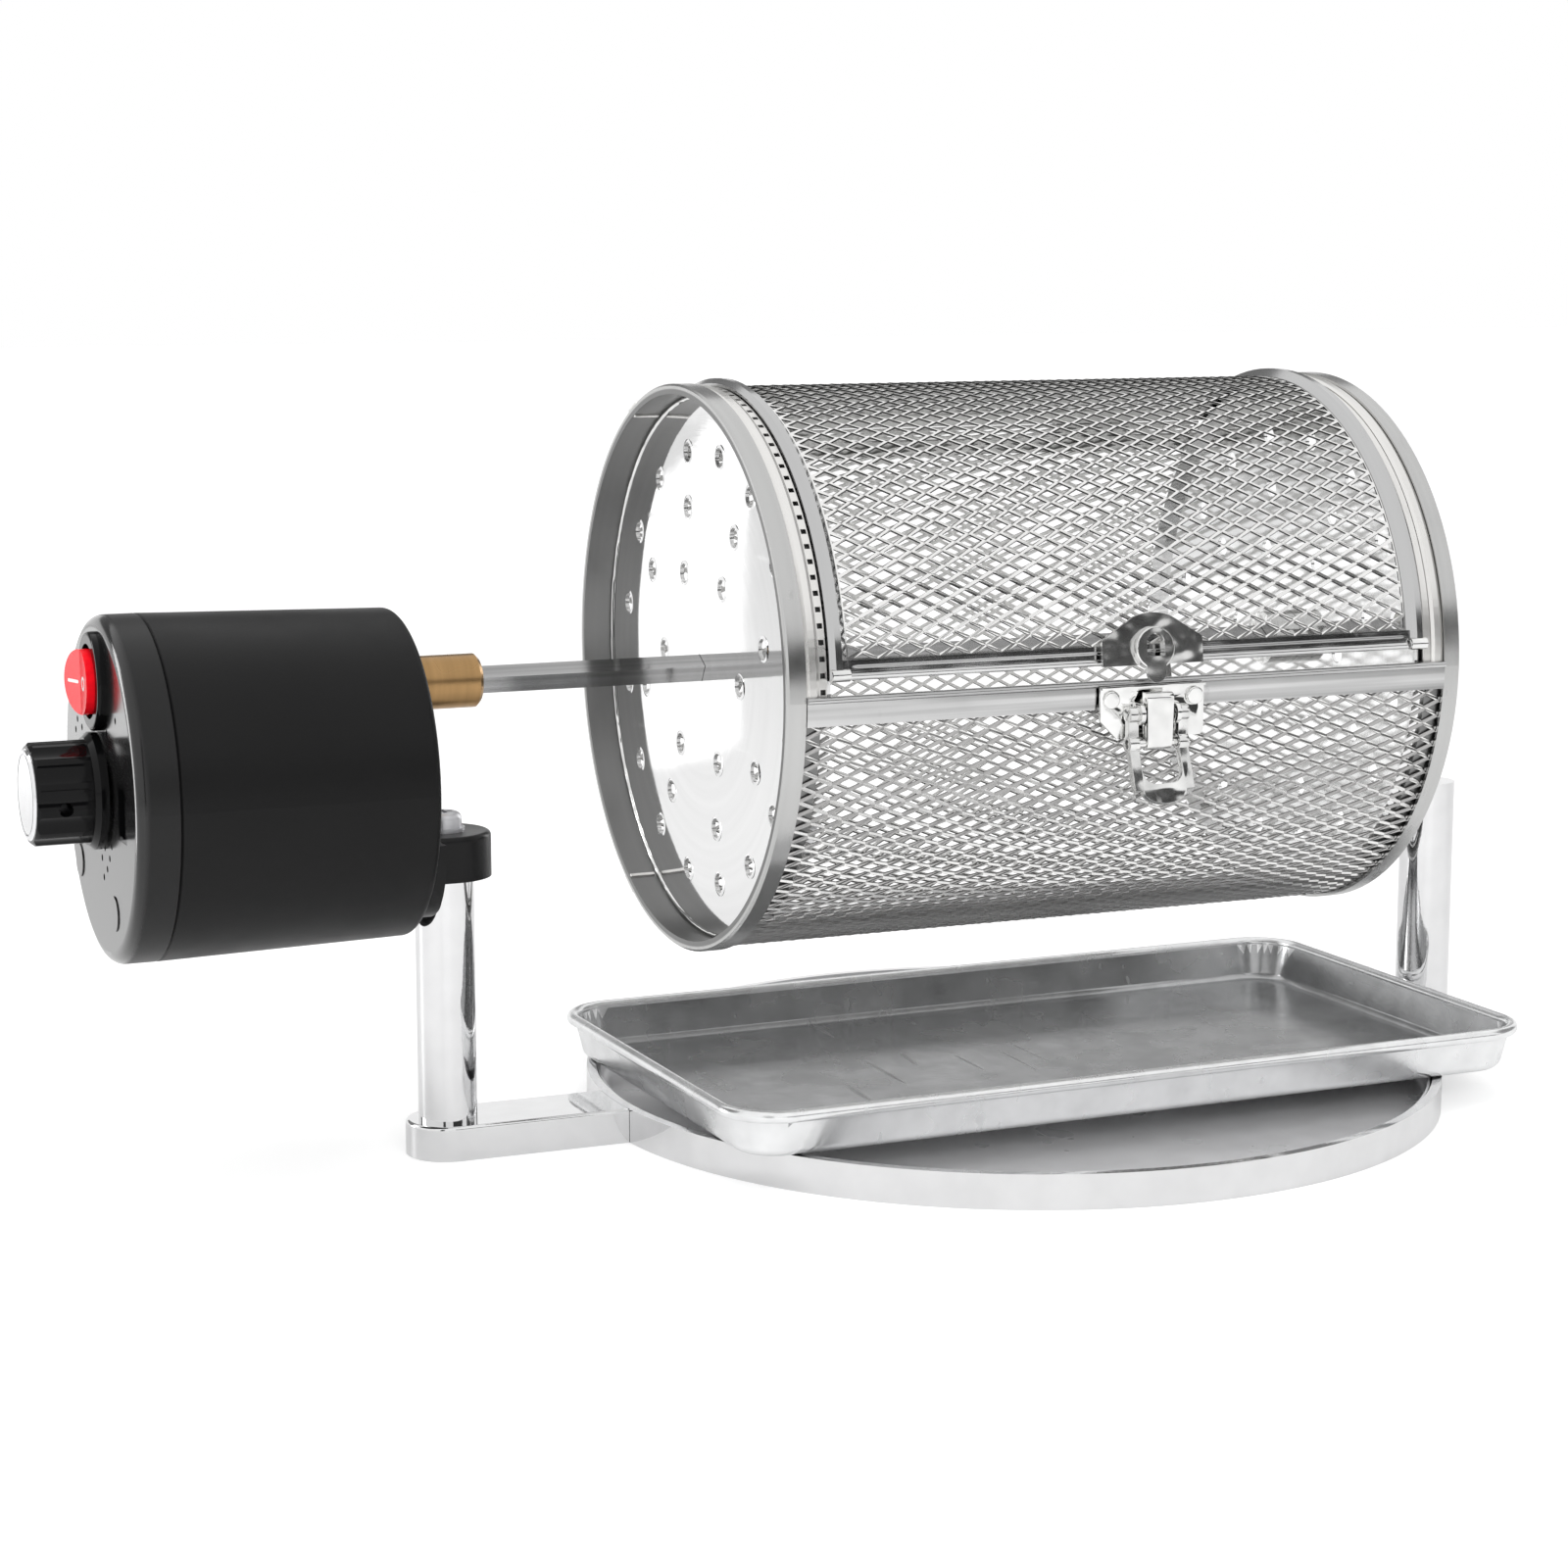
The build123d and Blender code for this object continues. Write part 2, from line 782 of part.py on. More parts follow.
def knuckle_spans(x):
    """Stations of the body's two knuckles and the lid's middle knuckle."""
    side = (hinge_length - lid_knuckle_length) / 2
    middle = (x + side, x + side + lid_knuckle_length)
    outer = ((x, x + side - knuckle_gap), (x + hinge_length - side + knuckle_gap, x + hinge_length))
    return outer, middle


def knuckle_clear():
    """Angle by which a leaf stays clear of the other leaf's knuckles."""
    return math.degrees((knuckle_diameter / 2 + free_gap) / hinge_radius)


def make_body_hinge_leaves():
    leaves = []
    r0 = rail_outer + seat
    r1 = r0 + leaf_sheet
    far = body_rear_end - math.degrees(leaf_margin / r0)
    for x in hinge_stations():
        leaf = sheet_arc(x, x + hinge_length, r0, r1, hinge_angle + knuckle_clear(), far)
        outer, _ = knuckle_spans(x)
        for x0, x1 in outer:
            leaf += sheet_arc(x0, x1, r0, r1, hinge_angle, far)
            leaf += drum_rod(x0, x1, hinge_angle, hinge_radius, knuckle_diameter)
        bore = hinge_pin_diameter + 2 * loose
        leaves.append(leaf - drum_rod(x, x + hinge_length, hinge_angle, hinge_radius, bore))
    return Compound(leaves)


def make_lid_hinge_leaves():
    leaves = []
    r0 = lid_rail_outer + seat
    r1 = r0 + leaf_sheet
    near = lid_rear_rail_start + math.degrees(leaf_margin / r0)
    for x in hinge_stations():
        leaf = sheet_arc(x, x + hinge_length, r0, r1, near, hinge_angle - knuckle_clear())
        _, (x0, x1) = knuckle_spans(x)
        leaf += sheet_arc(x0, x1, r0, r1, near, hinge_angle)
        leaf += drum_rod(x0, x1, hinge_angle, hinge_radius, knuckle_diameter)
        bore = hinge_pin_diameter + 2 * running
        leaves.append(leaf - drum_rod(x, x + hinge_length, hinge_angle, hinge_radius, bore))
    return Compound(leaves)


def make_hinge_pins():
    pins = []
    for x in hinge_stations():
        x1 = x + hinge_length + pin_overhang
        pins.append(drum_rod(x - pin_overhang, x1, hinge_angle, hinge_radius, hinge_pin_diameter))
    return Compound(pins)


# Latch
def rivet_shanks(clearance):
    """Shanks of the two rivets that hold the latch base to the body's front rail."""
    z = drum_axis_height - rivet_drop
    x = rivet_spacing / 2
    diameter = rivet_diameter + 2 * clearance
    right = depth_rod(x, z, -base_front, -rail_inner, diameter)
    return right + depth_rod(-x, z, -base_front, -rail_inner, diameter)


def make_latch_rivets():
    rivets = []
    z = drum_axis_height - rivet_drop
    for x in (-rivet_spacing / 2, rivet_spacing / 2):
        shank = depth_rod(x, z, -base_front, -rail_inner - seat, rivet_diameter)
        head = depth_rod(x, z, -base_front - rivet_head_height, -base_front, rivet_head)
        head = fillet(head.edges().group_by(Axis.Y)[0], rivet_head_height / 2)
        rivets.append(shank + head)
    return Compound(rivets)


def make_latch_base():
    half = base_width / 2
    low = drum_axis_height + base_low
    high = drum_axis_height + base_top
    plate = block(-half, half, -base_front, -base_back, low, high)
    corners = plate.edges().filter_by(Axis.Y).group_by(Axis.Z)[0].sort_by(Axis.X)
    plate = chamfer(corners[0], base_wing_cut)
    foot = plate.edges().filter_by(Axis.Y).group_by(Axis.Z)[0].sort_by(Axis.X)[-1]
    plate = fillet(foot, base_foot_corner)
    lip_front = base_front + base_lip
    plate += block(-half, half, -lip_front, -base_back, high - latch_sheet, high)
    for side in (-1, 1):
        x0, x1 = sorted((side * ear_inner, side * (ear_inner + ear_thickness)))
        z0 = lever_pivot_z - ear_height / 2
        plate += block(x0, x1, -lever_pivot_reach, -base_back, z0, z0 + ear_height)
        plate += rod(x0, x1, -lever_pivot_reach, lever_pivot_z, ear_height)
    bore = trunnion_diameter + 2 * running
    plate -= rod(-half, half, -lever_pivot_reach, lever_pivot_z, bore)
    return plate - rivet_shanks(loose)


def make_latch_lever():
    half = lever_width / 2
    inner = half - lever_arm_width
    y = -lever_pivot_reach
    y0 = y - lever_arm_depth / 2
    y1 = y + lever_arm_depth / 2
    lever = lever_blade()
    for side in (-1, 1):
        x0, x1 = sorted((side * inner, side * half))
        lever += block(x0, x1, y0, y1, claw_pivot_z, lever_pivot_z)
        lever += rod(x0, x1, y, lever_pivot_z, 2 * lever_arm_depth)
        lever += rod(x0, x1, y, claw_pivot_z, 2 * lever_arm_depth)
        s0, s1 = sorted((side * (ear_inner + loose), side * half))
        lever += rod(s0, s1, y, lever_pivot_z, trunnion_diameter)
    bore = claw_pin_diameter + 2 * running
    return lever - rod(-half, half, y, claw_pivot_z, bore)


def lever_blade():
    """Lower loop of the lever with its half-moon finger tip, bent outwards below the claw's pin."""
    half = lever_width / 2
    inner = half - lever_arm_width
    y1 = -lever_pivot_reach + lever_arm_depth / 2
    plane = Plane(origin=(0, y1, claw_pivot_z), x_dir=(1, 0, 0), z_dir=(0, -1, 0))
    loop = Pos(0, -lever_blade_length / 2) * Rectangle(2 * half, lever_blade_length)
    window_low = lever_bar - lever_blade_length
    window = Pos(0, window_low / 2) * Rectangle(2 * inner, -window_low)
    loop -= fillet(window.vertices().group_by(Axis.Y)[0], lever_inner_radius)
    moon = Ellipse(lever_tip_width / 2, lever_tip_length)
    moon -= Pos(0, lever_tip_length) * Rectangle(lever_tip_width, 2 * lever_tip_length)
    loop += Pos(0, -lever_blade_length) * moon
    blade = extrude(plane * loop, amount=lever_arm_depth)
    return blade.rotate(Axis((0, -lever_pivot_reach, claw_pivot_z), (-1, 0, 0)), lever_blade_bend)


def make_latch_claw():
    top = drum_axis_height - claw_top_drop
    half = claw_width / 2
    narrow = half - claw_taper / 2
    plane = Plane(origin=(0, -claw_back, claw_pivot_z), x_dir=(1, 0, 0), z_dir=(0, -1, 0))
    height = top - claw_pivot_z
    points = ((-narrow, 0), (narrow, 0), (half, height), (-half, height))
    claw = extrude(plane * make_face(Polyline(*points, close=True)), amount=claw_depth)
    claw = fillet(claw.edges().group_by(Axis.Z)[-1].sort_by(Axis.Y)[0], claw_depth / 2)
    claw += rod(-narrow, narrow, -lever_pivot_reach, claw_pivot_z, 2 * claw_roll)
    reach = lever_width / 2 - lever_arm_width / 2
    return claw + rod(-reach, reach, -lever_pivot_reach, claw_pivot_z, claw_pin_diameter)


def make_latch_keeper():
    place = on_drum(0, keeper_angle, lid_rail_outer + lid_rail_bead - lid_rail_bead_sink)
    turn = math.radians(keeper_angle)
    plane = Plane(origin=place, x_dir=(1, 0, 0), z_dir=(0, -math.cos(turn), math.sin(turn)))
    half = keeper_width / 2
    shoulder = keeper_shoulder_width / 2
    sides = Polyline(
        (shoulder, keeper_shoulder),
        (half, keeper_side),
        (half, keeper_low),
        (-half, keeper_low),
        (-half, keeper_side),
        (-shoulder, keeper_shoulder),
    )
    crown = ThreePointArc((-shoulder, keeper_shoulder), (0, keeper_crown), (shoulder, keeper_shoulder))
    plate = extrude(plane * make_face([*sides.edges(), crown]), amount=latch_sheet)
    boss = extrude(plane * Circle(keeper_ring_radius), amount=latch_sheet + keeper_ring_rise)
    boss = fillet(boss.edges().sort_by_distance(plane.origin)[-1], latch_sheet / 2)
    round_end = tongue_width / 2
    tongue = Pos(0, (tongue_tip + round_end) / 2) * Rectangle(tongue_width, -tongue_tip - round_end)
    tongue += Pos(0, tongue_tip + round_end) * Circle(round_end)
    plate += boss + extrude(plane.offset(keeper_ring_rise) * tongue, amount=latch_sheet)
    slot_radius = keeper_slot_width / 2
    slot_top = keeper_slot_high - slot_radius
    slot_height = slot_top - keeper_slot_low
    slot = Pos(0, slot_top - slot_height / 2) * Rectangle(keeper_slot_width, slot_height)
    slot += Pos(0, slot_top) * Circle(slot_radius)
    return plate - extrude(plane * slot, amount=2 * latch_sheet + keeper_ring_rise)


# Shaft and coupling
def make_drum_shaft():
    x0 = body_rear + coupling_gap + coupling_length - coupling_socket_depth + free_gap
    x1 = right_post_x - journal_inset
    shaft = square_bar(x0, x1, shaft_side)
    return shaft + rod(x1, tongue_x + journal_overhang, 0, drum_axis_height, journal_diameter)


def grub_plane():
    """Plane on the coupling's skin, facing out along a flat of the drum shaft."""
    turn = math.radians(shaft_roll + grub_turn)
    x = body_rear + coupling_gap + coupling_length - grub_inset
    out = Vector(0, -math.cos(turn), math.sin(turn))
    centre = Vector(x, 0, drum_axis_height)
    return Plane(origin=centre + out * (coupling_diameter / 2), x_dir=(1, 0, 0), z_dir=out)


def make_shaft_coupling():
    x0 = body_rear + coupling_gap
    x1 = x0 + coupling_length
    coupling = rod(x0, x1, 0, drum_axis_height, coupling_diameter)
    coupling = chamfer(coupling.edges().group_by(Axis.X)[-1], coupling_chamfer)
    bore = output_shaft_diameter + 2 * loose
    coupling -= rod(x0, x0 + coupling_bore_depth, 0, drum_axis_height, bore)
    coupling -= square_bar(x1 - coupling_socket_depth, x1, shaft_side + 2 * shaft_fit)
    hole = Circle(grub_diameter / 2 + loose)
    return coupling - extrude(grub_plane() * hole, amount=-coupling_diameter / 2)


def make_coupling_screw():
    plane = grub_plane().offset(-free_gap)
    grub = extrude(plane * Circle(grub_diameter / 2), amount=-grub_length)
    socket = RegularPolygon(grub_diameter / 4, 6)
    return grub - extrude(plane * socket, amount=-grub_length / 2)


# Motor unit
def make_motor_body():
    rear_inner = body_rear_radius - body_wall
    points = (
        (body_seam, body_radius - seam_bevel),
        (body_seam + seam_bevel, body_radius),
        (body_rear, body_rear_radius),
        (body_rear, 0),
        (wall_inside, 0),
        (wall_inside, rear_inner),
        (body_seam, body_radius - body_wall),
    )
    body = turned(points, motor_axis_height)
    body = fillet(body.edges().group_by(Axis.X)[-1], body_edge)
    for y, rise in cap_screw_places:
        z = motor_axis_height + rise
        body += screw_boss(y, rise)
        body -= rod(boss_start, boss_end - boss_floor, y, z, cap_screw_diameter + 2 * seat)
    bearing = wall_inside - output_boss_length
    body += rod(bearing, wall_inside, 0, drum_axis_height, output_boss)
    body -= rod(bearing, body_rear, 0, drum_axis_height, output_shaft_diameter + 2 * running)
    seat_end = wall_inside + idler_pin_seat
    body -= rod(wall_inside, seat_end, idler_y, idler_height, idler_pin_diameter + 2 * seat)
    for y in (-bracket_bolt_side, bracket_bolt_side):
        hole = bracket_bolt_diameter + 2 * loose
        body -= rod(wall_inside, body_rear, y, bracket_bolt_height, hole)
    return body


def screw_boss(y, rise):
    """Boss for one cap screw, with a web out to the body's wall."""
    reach = math.hypot(y, rise)
    wall = body_radius - body_wall / 2
    plane = Plane(origin=(boss_start, 0, motor_axis_height), x_dir=(0, 1, 0), z_dir=(1, 0, 0))
    web = Pos((reach + wall) / 2, 0) * Rectangle(wall - reach, boss_web)
    web = Rot(0, 0, math.degrees(math.atan2(rise, y))) * web
    boss = rod(boss_start, boss_end, y, motor_axis_height + rise, body_boss)
    return boss + extrude(plane * web, amount=boss_end - boss_start)


def make_front_cap():
    spigot_outer = body_radius - body_wall - spigot_gap
    spigot_inner = spigot_outer - spigot_wall
    points = (
        (face_x, 0),
        (face_x, body_radius),
        (body_seam - seam_bevel, body_radius),
        (body_seam, body_radius - seam_bevel),
        (body_seam, spigot_outer),
        (body_seam + spigot_length, spigot_outer),
        (body_seam + spigot_length, spigot_inner),
        (face_x + cap_face, spigot_inner),
        (face_x + cap_face, 0),
    )
    cap = turned(points, motor_axis_height)
    cap = fillet(cap.edges().group_by(Axis.X)[0], cap_edge)
    for y, rise in cap_screw_places:
        cap += rod(face_x + cap_face, body_seam, y, motor_axis_height + rise, cap_boss)
    for y, rise in cap_screw_places:
        z = motor_axis_height + rise
        cap -= rod(face_x, body_seam + spigot_length, y, z, cap_screw_diameter + 2 * loose)
        cap -= rod(face_x, head_seat(), y, z, plug_diameter + 2 * seat)
    back = face_x + cap_face
    vents = [rod(face_x, back, y, motor_axis_height + rise, vent_diameter) for y, rise in vent_places]
    cap -= vents
    cap -= inlet_block(face_x, back, inlet_width + 2 * loose, inlet_height + 2 * loose)
    cap -= rod(face_x, back, 0, motor_axis_height + switch_rise, switch_barrel + 2 * loose)
    return cap - rod(face_x, back, 0, motor_axis_height, pot_bushing_diameter + 2 * loose)


def head_seat():
    """Depth at which the cap screws' heads rest."""
    return face_x + plug_thickness + cap_screw_head_height + free_gap


def make_cap_screws():
    screws = []
    x1 = head_seat()
    tip = boss_end - boss_floor - free_gap
    for y, rise in cap_screw_places:
        z = motor_axis_height + rise
        head = rod(x1 - cap_screw_head_height, x1, y, z, cap_screw_head)
        screws.append(head + rod(x1, tip, y, z, cap_screw_diameter))
    return Compound(screws)


def make_cap_plugs():
    plugs = []
    for y, rise in cap_screw_places:
        z = motor_axis_height + rise
        plug = rod(face_x - plug_proud, face_x + plug_thickness, y, z, plug_diameter)
        plugs.append(fillet(plug.edges().group_by(Axis.X)[0], plug_proud / 2))
    return Compound(plugs)


# Bracket
def make_motor_bracket():
    x1 = body_rear + bracket_thickness
    plane = Plane(origin=(body_rear, 0, 0), x_dir=(0, 1, 0), z_dir=(1, 0, 0))
    middle = (bracket_low + bracket_high) / 2
    sketch = Pos(0, middle) * Rectangle(2 * bracket_half_width, bracket_high - bracket_low)
    corners = sketch.vertices().group_by(Axis.Y)[0]
    sketch = fillet(corners, bracket_corner)
    plate = extrude(plane * sketch, amount=bracket_thickness)
    outline = Pos(left_post_x, 0) * Circle(lug_half_width)
    reach = left_post_x - body_rear
    outline += Pos(body_rear + reach / 2, 0) * Rectangle(reach, 2 * lug_half_width)
    lug = extrude(Plane.XY.offset(lug_low) * outline, amount=bracket_high - lug_low)
    bracket = plate + lug
    rim = bracket.edges().group_by(Axis.Z)[-1].filter_by(GeomType.CIRCLE)
    bracket = fillet(rim, bracket_edge)
    bracket -= stud(left_post_x, 0, lug_low, bracket_high, top_screw_diameter + 2 * loose)
    bracket -= stud(left_post_x, 0, bracket_low, lug_low, post_diameter + 2 * loose)
    for y in (-bracket_bolt_side, bracket_bolt_side):
        hole = bracket_bolt_diameter + 2 * loose
        depth = body_rear + bracket_bolt_reach + free_gap
        bracket -= rod(body_rear, min(depth, x1), y, bracket_bolt_height, hole)
    return bracket


def make_bracket_bolts():
    bolts = []
    for y in (-bracket_bolt_side, bracket_bolt_side):
        x0 = wall_inside - bracket_bolt_head_height
        head = rod(x0, wall_inside, y, bracket_bolt_height, bracket_bolt_head)
        x1 = body_rear + bracket_bolt_reach
        bolts.append(head + rod(wall_inside, x1, y, bracket_bolt_height, bracket_bolt_diameter))
    return Compound(bolts)


def make_post_top_screw():
    low = bracket_high + top_washer_thickness
    top = low + top_screw_head_height
    head = stud(left_post_x, 0, low, top, top_screw_head)
    head = fillet(head.edges().group_by(Axis.Z)[-1], top_screw_crown)
    end = lug_low - top_screw_reach + free_gap
    return head + stud(left_post_x, 0, end, low, top_screw_diameter) - cross_slot(left_post_x, 0, top)


def make_post_top_washer():
    top = bracket_high + top_washer_thickness
    washer = stud(left_post_x, 0, bracket_high, top, top_washer)
    return washer - stud(left_post_x, 0, bracket_high, top, top_screw_diameter + 2 * loose)


# Switch
def make_switch_housing():
    z = motor_axis_height + switch_rise
    bezel = rod(face_x - bezel_height, face_x, 0, z, bezel_diameter)
    bezel = fillet(bezel.edges().group_by(Axis.X)[0], bezel_edge)
    end = face_x + switch_barrel_depth
    housing = bezel + rod(face_x, end, 0, z, switch_barrel)
    housing -= rod(face_x - bezel_height, face_x + switch_cavity_depth, 0, z, switch_opening)
    pivot_x = face_x + rocker_pivot_depth
    reach = switch_opening / 2 + rocker_pin_reach + loose
    housing -= stud(pivot_x, 0, z - reach, z + reach, rocker_pin_diameter + 2 * running)
    for y in (-terminal_spacing / 2, terminal_spacing / 2):
        half = terminal_thickness / 2
        tall = terminal_width / 2
        housing += block(end, end + terminal_length, y - half, y + half, z - tall, z + tall)
    return housing


def make_switch_rocker():
    z = motor_axis_height + switch_rise
    radius = rocker_diameter / 2
    rise = radius * math.tan(math.radians(rocker_slope))
    plane = Plane(origin=(0, 0, z - radius), x_dir=(1, 0, 0), z_dir=(0, 0, 1))
    points = (
        (face_x - rocker_front - rise, -radius),
        (face_x - rocker_front, 0),
        (face_x - rocker_front - rise, radius),
        (face_x + rocker_depth / 2, radius),
        (face_x + rocker_depth, 0),
        (face_x + rocker_depth / 2, -radius),
    )
    profile = extrude(plane * make_face(Polyline(*points, close=True)), amount=rocker_diameter)
    rocker = profile & rod(face_x - knob_length, face_x + knob_length, 0, z, rocker_diameter)
    pivot_x = face_x + rocker_pivot_depth
    reach = switch_opening / 2 + rocker_pin_reach
    rocker += stud(pivot_x, 0, z - reach, z + reach, rocker_pin_diameter)
    return rocker.rotate(Axis((pivot_x, 0, z), (0, 0, 1)), rocker_tilt)


# Speed control
def make_speed_knob():
    base = face_x - knob_gap
    front = base - knob_length
    z = motor_axis_height
    plane = Plane(origin=(base, 0, z), x_dir=(0, 1, 0), z_dir=(-1, 0, 0))
    outline = Circle(knob_diameter / 2)
    flute = knob_diameter / 2 - knob_flute_depth + knob_flute_diameter / 2
    outline -= PolarLocations(flute, knob_flutes) * Circle(knob_flute_diameter / 2)
    grip = extrude(plane * outline, amount=knob_length)
    nose = extrude(plane * Circle(knob_diameter / 2), amount=knob_length)
    nose = chamfer(nose.edges().group_by(Axis.X)[0], knob_top_edge)
    knob = grip & nose
    skirt = rod(base - knob_skirt_height, base, 0, z, knob_skirt_diameter)
    knob += chamfer(skirt.edges().group_by(Axis.X)[0], knob_skirt_edge)
    knob -= rod(base - knob_recess_depth, base, 0, z, knob_recess_diameter)
    depth = face_x - pot_shaft_reach - free_gap
    knob -= rod(depth, base, 0, z, pot_shaft_diameter + 2 * running)
    face_depth = front + knob_face_thickness - knob_face_proud
    knob -= rod(front, face_depth, 0, z, knob_face_diameter + 2 * seat)
    hole_x = base - knob_skirt_height - (knob_length - knob_skirt_height) / 2
    turn = math.radians(knob_grub_roll)
    out = (0, -math.cos(turn), math.sin(turn))
    hole = Plane(origin=(hole_x, 0, z), x_dir=(1, 0, 0), z_dir=out) * Circle(knob_grub_hole / 2)
    return knob - extrude(hole, amount=knob_diameter)


def make_knob_face():
    front = face_x - knob_gap - knob_length - knob_face_proud
    z = motor_axis_height
    face = rod(front, front + knob_face_thickness, 0, z, knob_face_diameter)
    face = chamfer(face.edges().group_by(Axis.X)[0], knob_face_edge)
    depth = front + knob_groove_depth
    inner = 2 * knob_groove_radius - knob_groove_width
    groove = rod(front, depth, 0, z, 2 * knob_groove_radius + knob_groove_width)
    face -= groove - rod(front, depth, 0, z, inner)
    half = knob_pointer_width / 2
    high = z + knob_face_diameter / 2
    return face - block(front, depth, -half, half, z + knob_groove_radius, high)


def make_pot_shaft():
    x0 = face_x - pot_shaft_reach
    x1 = face_x + cap_face + pot_bore_depth - free_gap
    return rod(x0, x1, 0, motor_axis_height, pot_shaft_diameter)


def make_speed_pot():
    x1 = face_x + cap_face
    z = motor_axis_height
    pot = rod(x1, x1 + pot_depth, 0, z, pot_diameter)
    pot += rod(face_x - pot_bushing_reach, x1, 0, z, pot_bushing_diameter)
    bore = pot_shaft_diameter + 2 * running
    return pot - rod(face_x - pot_bushing_reach, x1 + pot_bore_depth, 0, z, bore)


def make_speed_board():
    x0 = face_x + cap_face + pot_depth
    z = motor_axis_height
    half = board_width / 2
    board = block(x0, x0 + board_thickness, -half, half, z + board_low, z + board_high)
    for y in (-capacitor_side, capacitor_side):
        board += rod(x0 - capacitor_height, x0, y, z - capacitor_drop, capacitor_diameter)
    wide = regulator_width / 2
    low = z - regulator_drop - regulator_thickness / 2
    high = low + regulator_thickness
    return board + block(x0 - regulator_height, x0, -wide, wide, low, high)


def inlet_block(x0, x1, width, height):
    """Square-edged block on the power inlet's centre line."""
    z = motor_axis_height + inlet_rise
    y0 = inlet_side - width / 2
    return block(x0, x1, y0, y0 + width, z - height / 2, z + height / 2)


def make_power_inlet():
    bottom = face_x + inlet_depth - inlet_floor
    inlet = inlet_block(face_x, face_x + inlet_depth, inlet_width, inlet_height)
    inlet -= inlet_block(face_x, bottom, inlet_width - 2 * inlet_wall, inlet_height - 2 * inlet_wall)
    return inlet + inlet_block(bottom - inlet_tongue_length, bottom, inlet_tongue_width, inlet_tongue_height)


# Gear motor
def gear_outline(teeth, module, turn):
    """Closed outline of an involute gear; one tooth points at the given angle."""
    pitch = module * teeth / 2
    base = pitch * math.cos(math.radians(pressure_angle))
    tip = pitch + tooth_addendum * module
    root = pitch - tooth_dedendum * module
    half = (math.pi * module / 2 - tooth_thinning) / 2 / pitch
    half += math.tan(math.radians(pressure_angle)) - math.radians(pressure_angle)
    flank = [(root, half)]
    low = max(base, root)
    for step in range(flank_steps + 1):
        radius = low + (tip - low) * step / flank_steps
        angle = math.acos(min(1.0, base / radius))
        flank.append((radius, half - math.tan(angle) + angle))
    points = []
    for tooth in range(teeth):
        centre = math.radians(turn) + 2 * math.pi * tooth / teeth
        for radius, angle in flank:
            points.append((radius * math.cos(centre - angle), radius * math.sin(centre - angle)))
        for radius, angle in reversed(flank):
            points.append((radius * math.cos(centre + angle), radius * math.sin(centre + angle)))
    return make_face(Polyline(*points, close=True))


def gear(teeth, module, turn, x0, width, y, z):
    """Gear blank along X; its teeth are counted from +Y towards +Z."""
    plane = Plane(origin=(x0, y, z), x_dir=(0, 1, 0), z_dir=(1, 0, 0))
    return extrude(plane * gear_outline(teeth, module, turn), amount=width)


def fast_mesh_angle():
    """Direction from the armature to the idler."""
    return math.degrees(math.atan2(idler_rise, idler_y))


def slow_mesh_angle():
    """Direction from the output shaft to the idler."""
    return math.degrees(math.atan2(idler_height - drum_axis_height, idler_y))


def gear_start():
    """Station where the fast gear pair begins, just behind the gear plate."""
    return plate_rear + gear_end_gap


def make_pinion():
    x0 = gear_start()
    pinion = gear(pinion_teeth, fast_module, fast_mesh_angle(), x0, pinion_width, 0, armature_height)
    bore = armature_shaft + 2 * seat
    return pinion - rod(x0, x0 + pinion_width, 0, armature_height, bore)


def make_idler_gear():
    x0 = gear_start() + (pinion_width - idler_width) / 2
    x1 = x0 + idler_width
    big_turn = fast_mesh_angle() + full_turn / 2 + full_turn / idler_teeth / 2
    small_turn = slow_mesh_angle() + full_turn / 2
    idler = gear(idler_teeth, fast_module, big_turn, x0, idler_width, idler_y, idler_height)
    idler += gear(idler_small_teeth, slow_module, small_turn, x1, idler_small_width, idler_y, idler_height)
    bore = idler_pin_diameter + 2 * running
    return idler - rod(x0, x1 + idler_small_width, idler_y, idler_height, bore)


def make_output_gear():
    x0 = gear_start() + (pinion_width + idler_width) / 2 + gear_end_gap
    turn = slow_mesh_angle() + full_turn / output_teeth / 2
    wheel = gear(output_teeth, slow_module, turn, x0, output_gear_width, 0, drum_axis_height)
    bore = output_shaft_diameter + 2 * seat
    return wheel - rod(x0, x0 + output_gear_width, 0, drum_axis_height, bore)


def make_output_shaft():
    x1 = body_rear + coupling_gap + coupling_bore_depth - free_gap
    return rod(plate_front, x1, 0, drum_axis_height, output_shaft_diameter)


def make_idler_pin():
    x1 = wall_inside + idler_pin_seat - seat
    return rod(plate_front, x1, idler_y, idler_height, idler_pin_diameter)


def make_gear_plate():
    plate = rod(plate_front, plate_rear, 0, motor_axis_height, 2 * gear_plate_radius)
    plate -= rod(plate_front, plate_rear, 0, armature_height, can_boss + 2 * loose)
    plate -= rod(plate_front, plate_rear, 0, drum_axis_height, output_shaft_diameter + 2 * running)
    return plate - rod(plate_front, plate_rear, idler_y, idler_height, idler_pin_diameter + 2 * seat)


def make_gear_pillars():
    pillars = []
    for y, rise in pillar_places:
        pillars.append(rod(plate_rear, wall_inside, y, motor_axis_height + rise, pillar_diameter))
    return Compound(pillars)


def make_motor_can():
    x0 = can_front
    can = rod(x0, plate_front, 0, armature_height, can_diameter)
    can += rod(plate_front, plate_rear, 0, armature_height, can_boss)
    inner = can_diameter - 2 * can_wall
    can -= rod(x0 + can_end, plate_front - can_end, 0, armature_height, inner)
    bore = armature_shaft + 2 * running
    return can - rod(x0 + can_end, plate_rear, 0, armature_height, bore)


def make_armature():
    x0 = can_front + can_end
    start = x0 + rotor_inset
    rotor = rod(start, start + rotor_length, 0, armature_height, rotor_diameter)
    x1 = gear_start() + pinion_width + pinion_overhang
    return rotor + rod(x0 + free_gap, x1, 0, armature_height, armature_shaft)


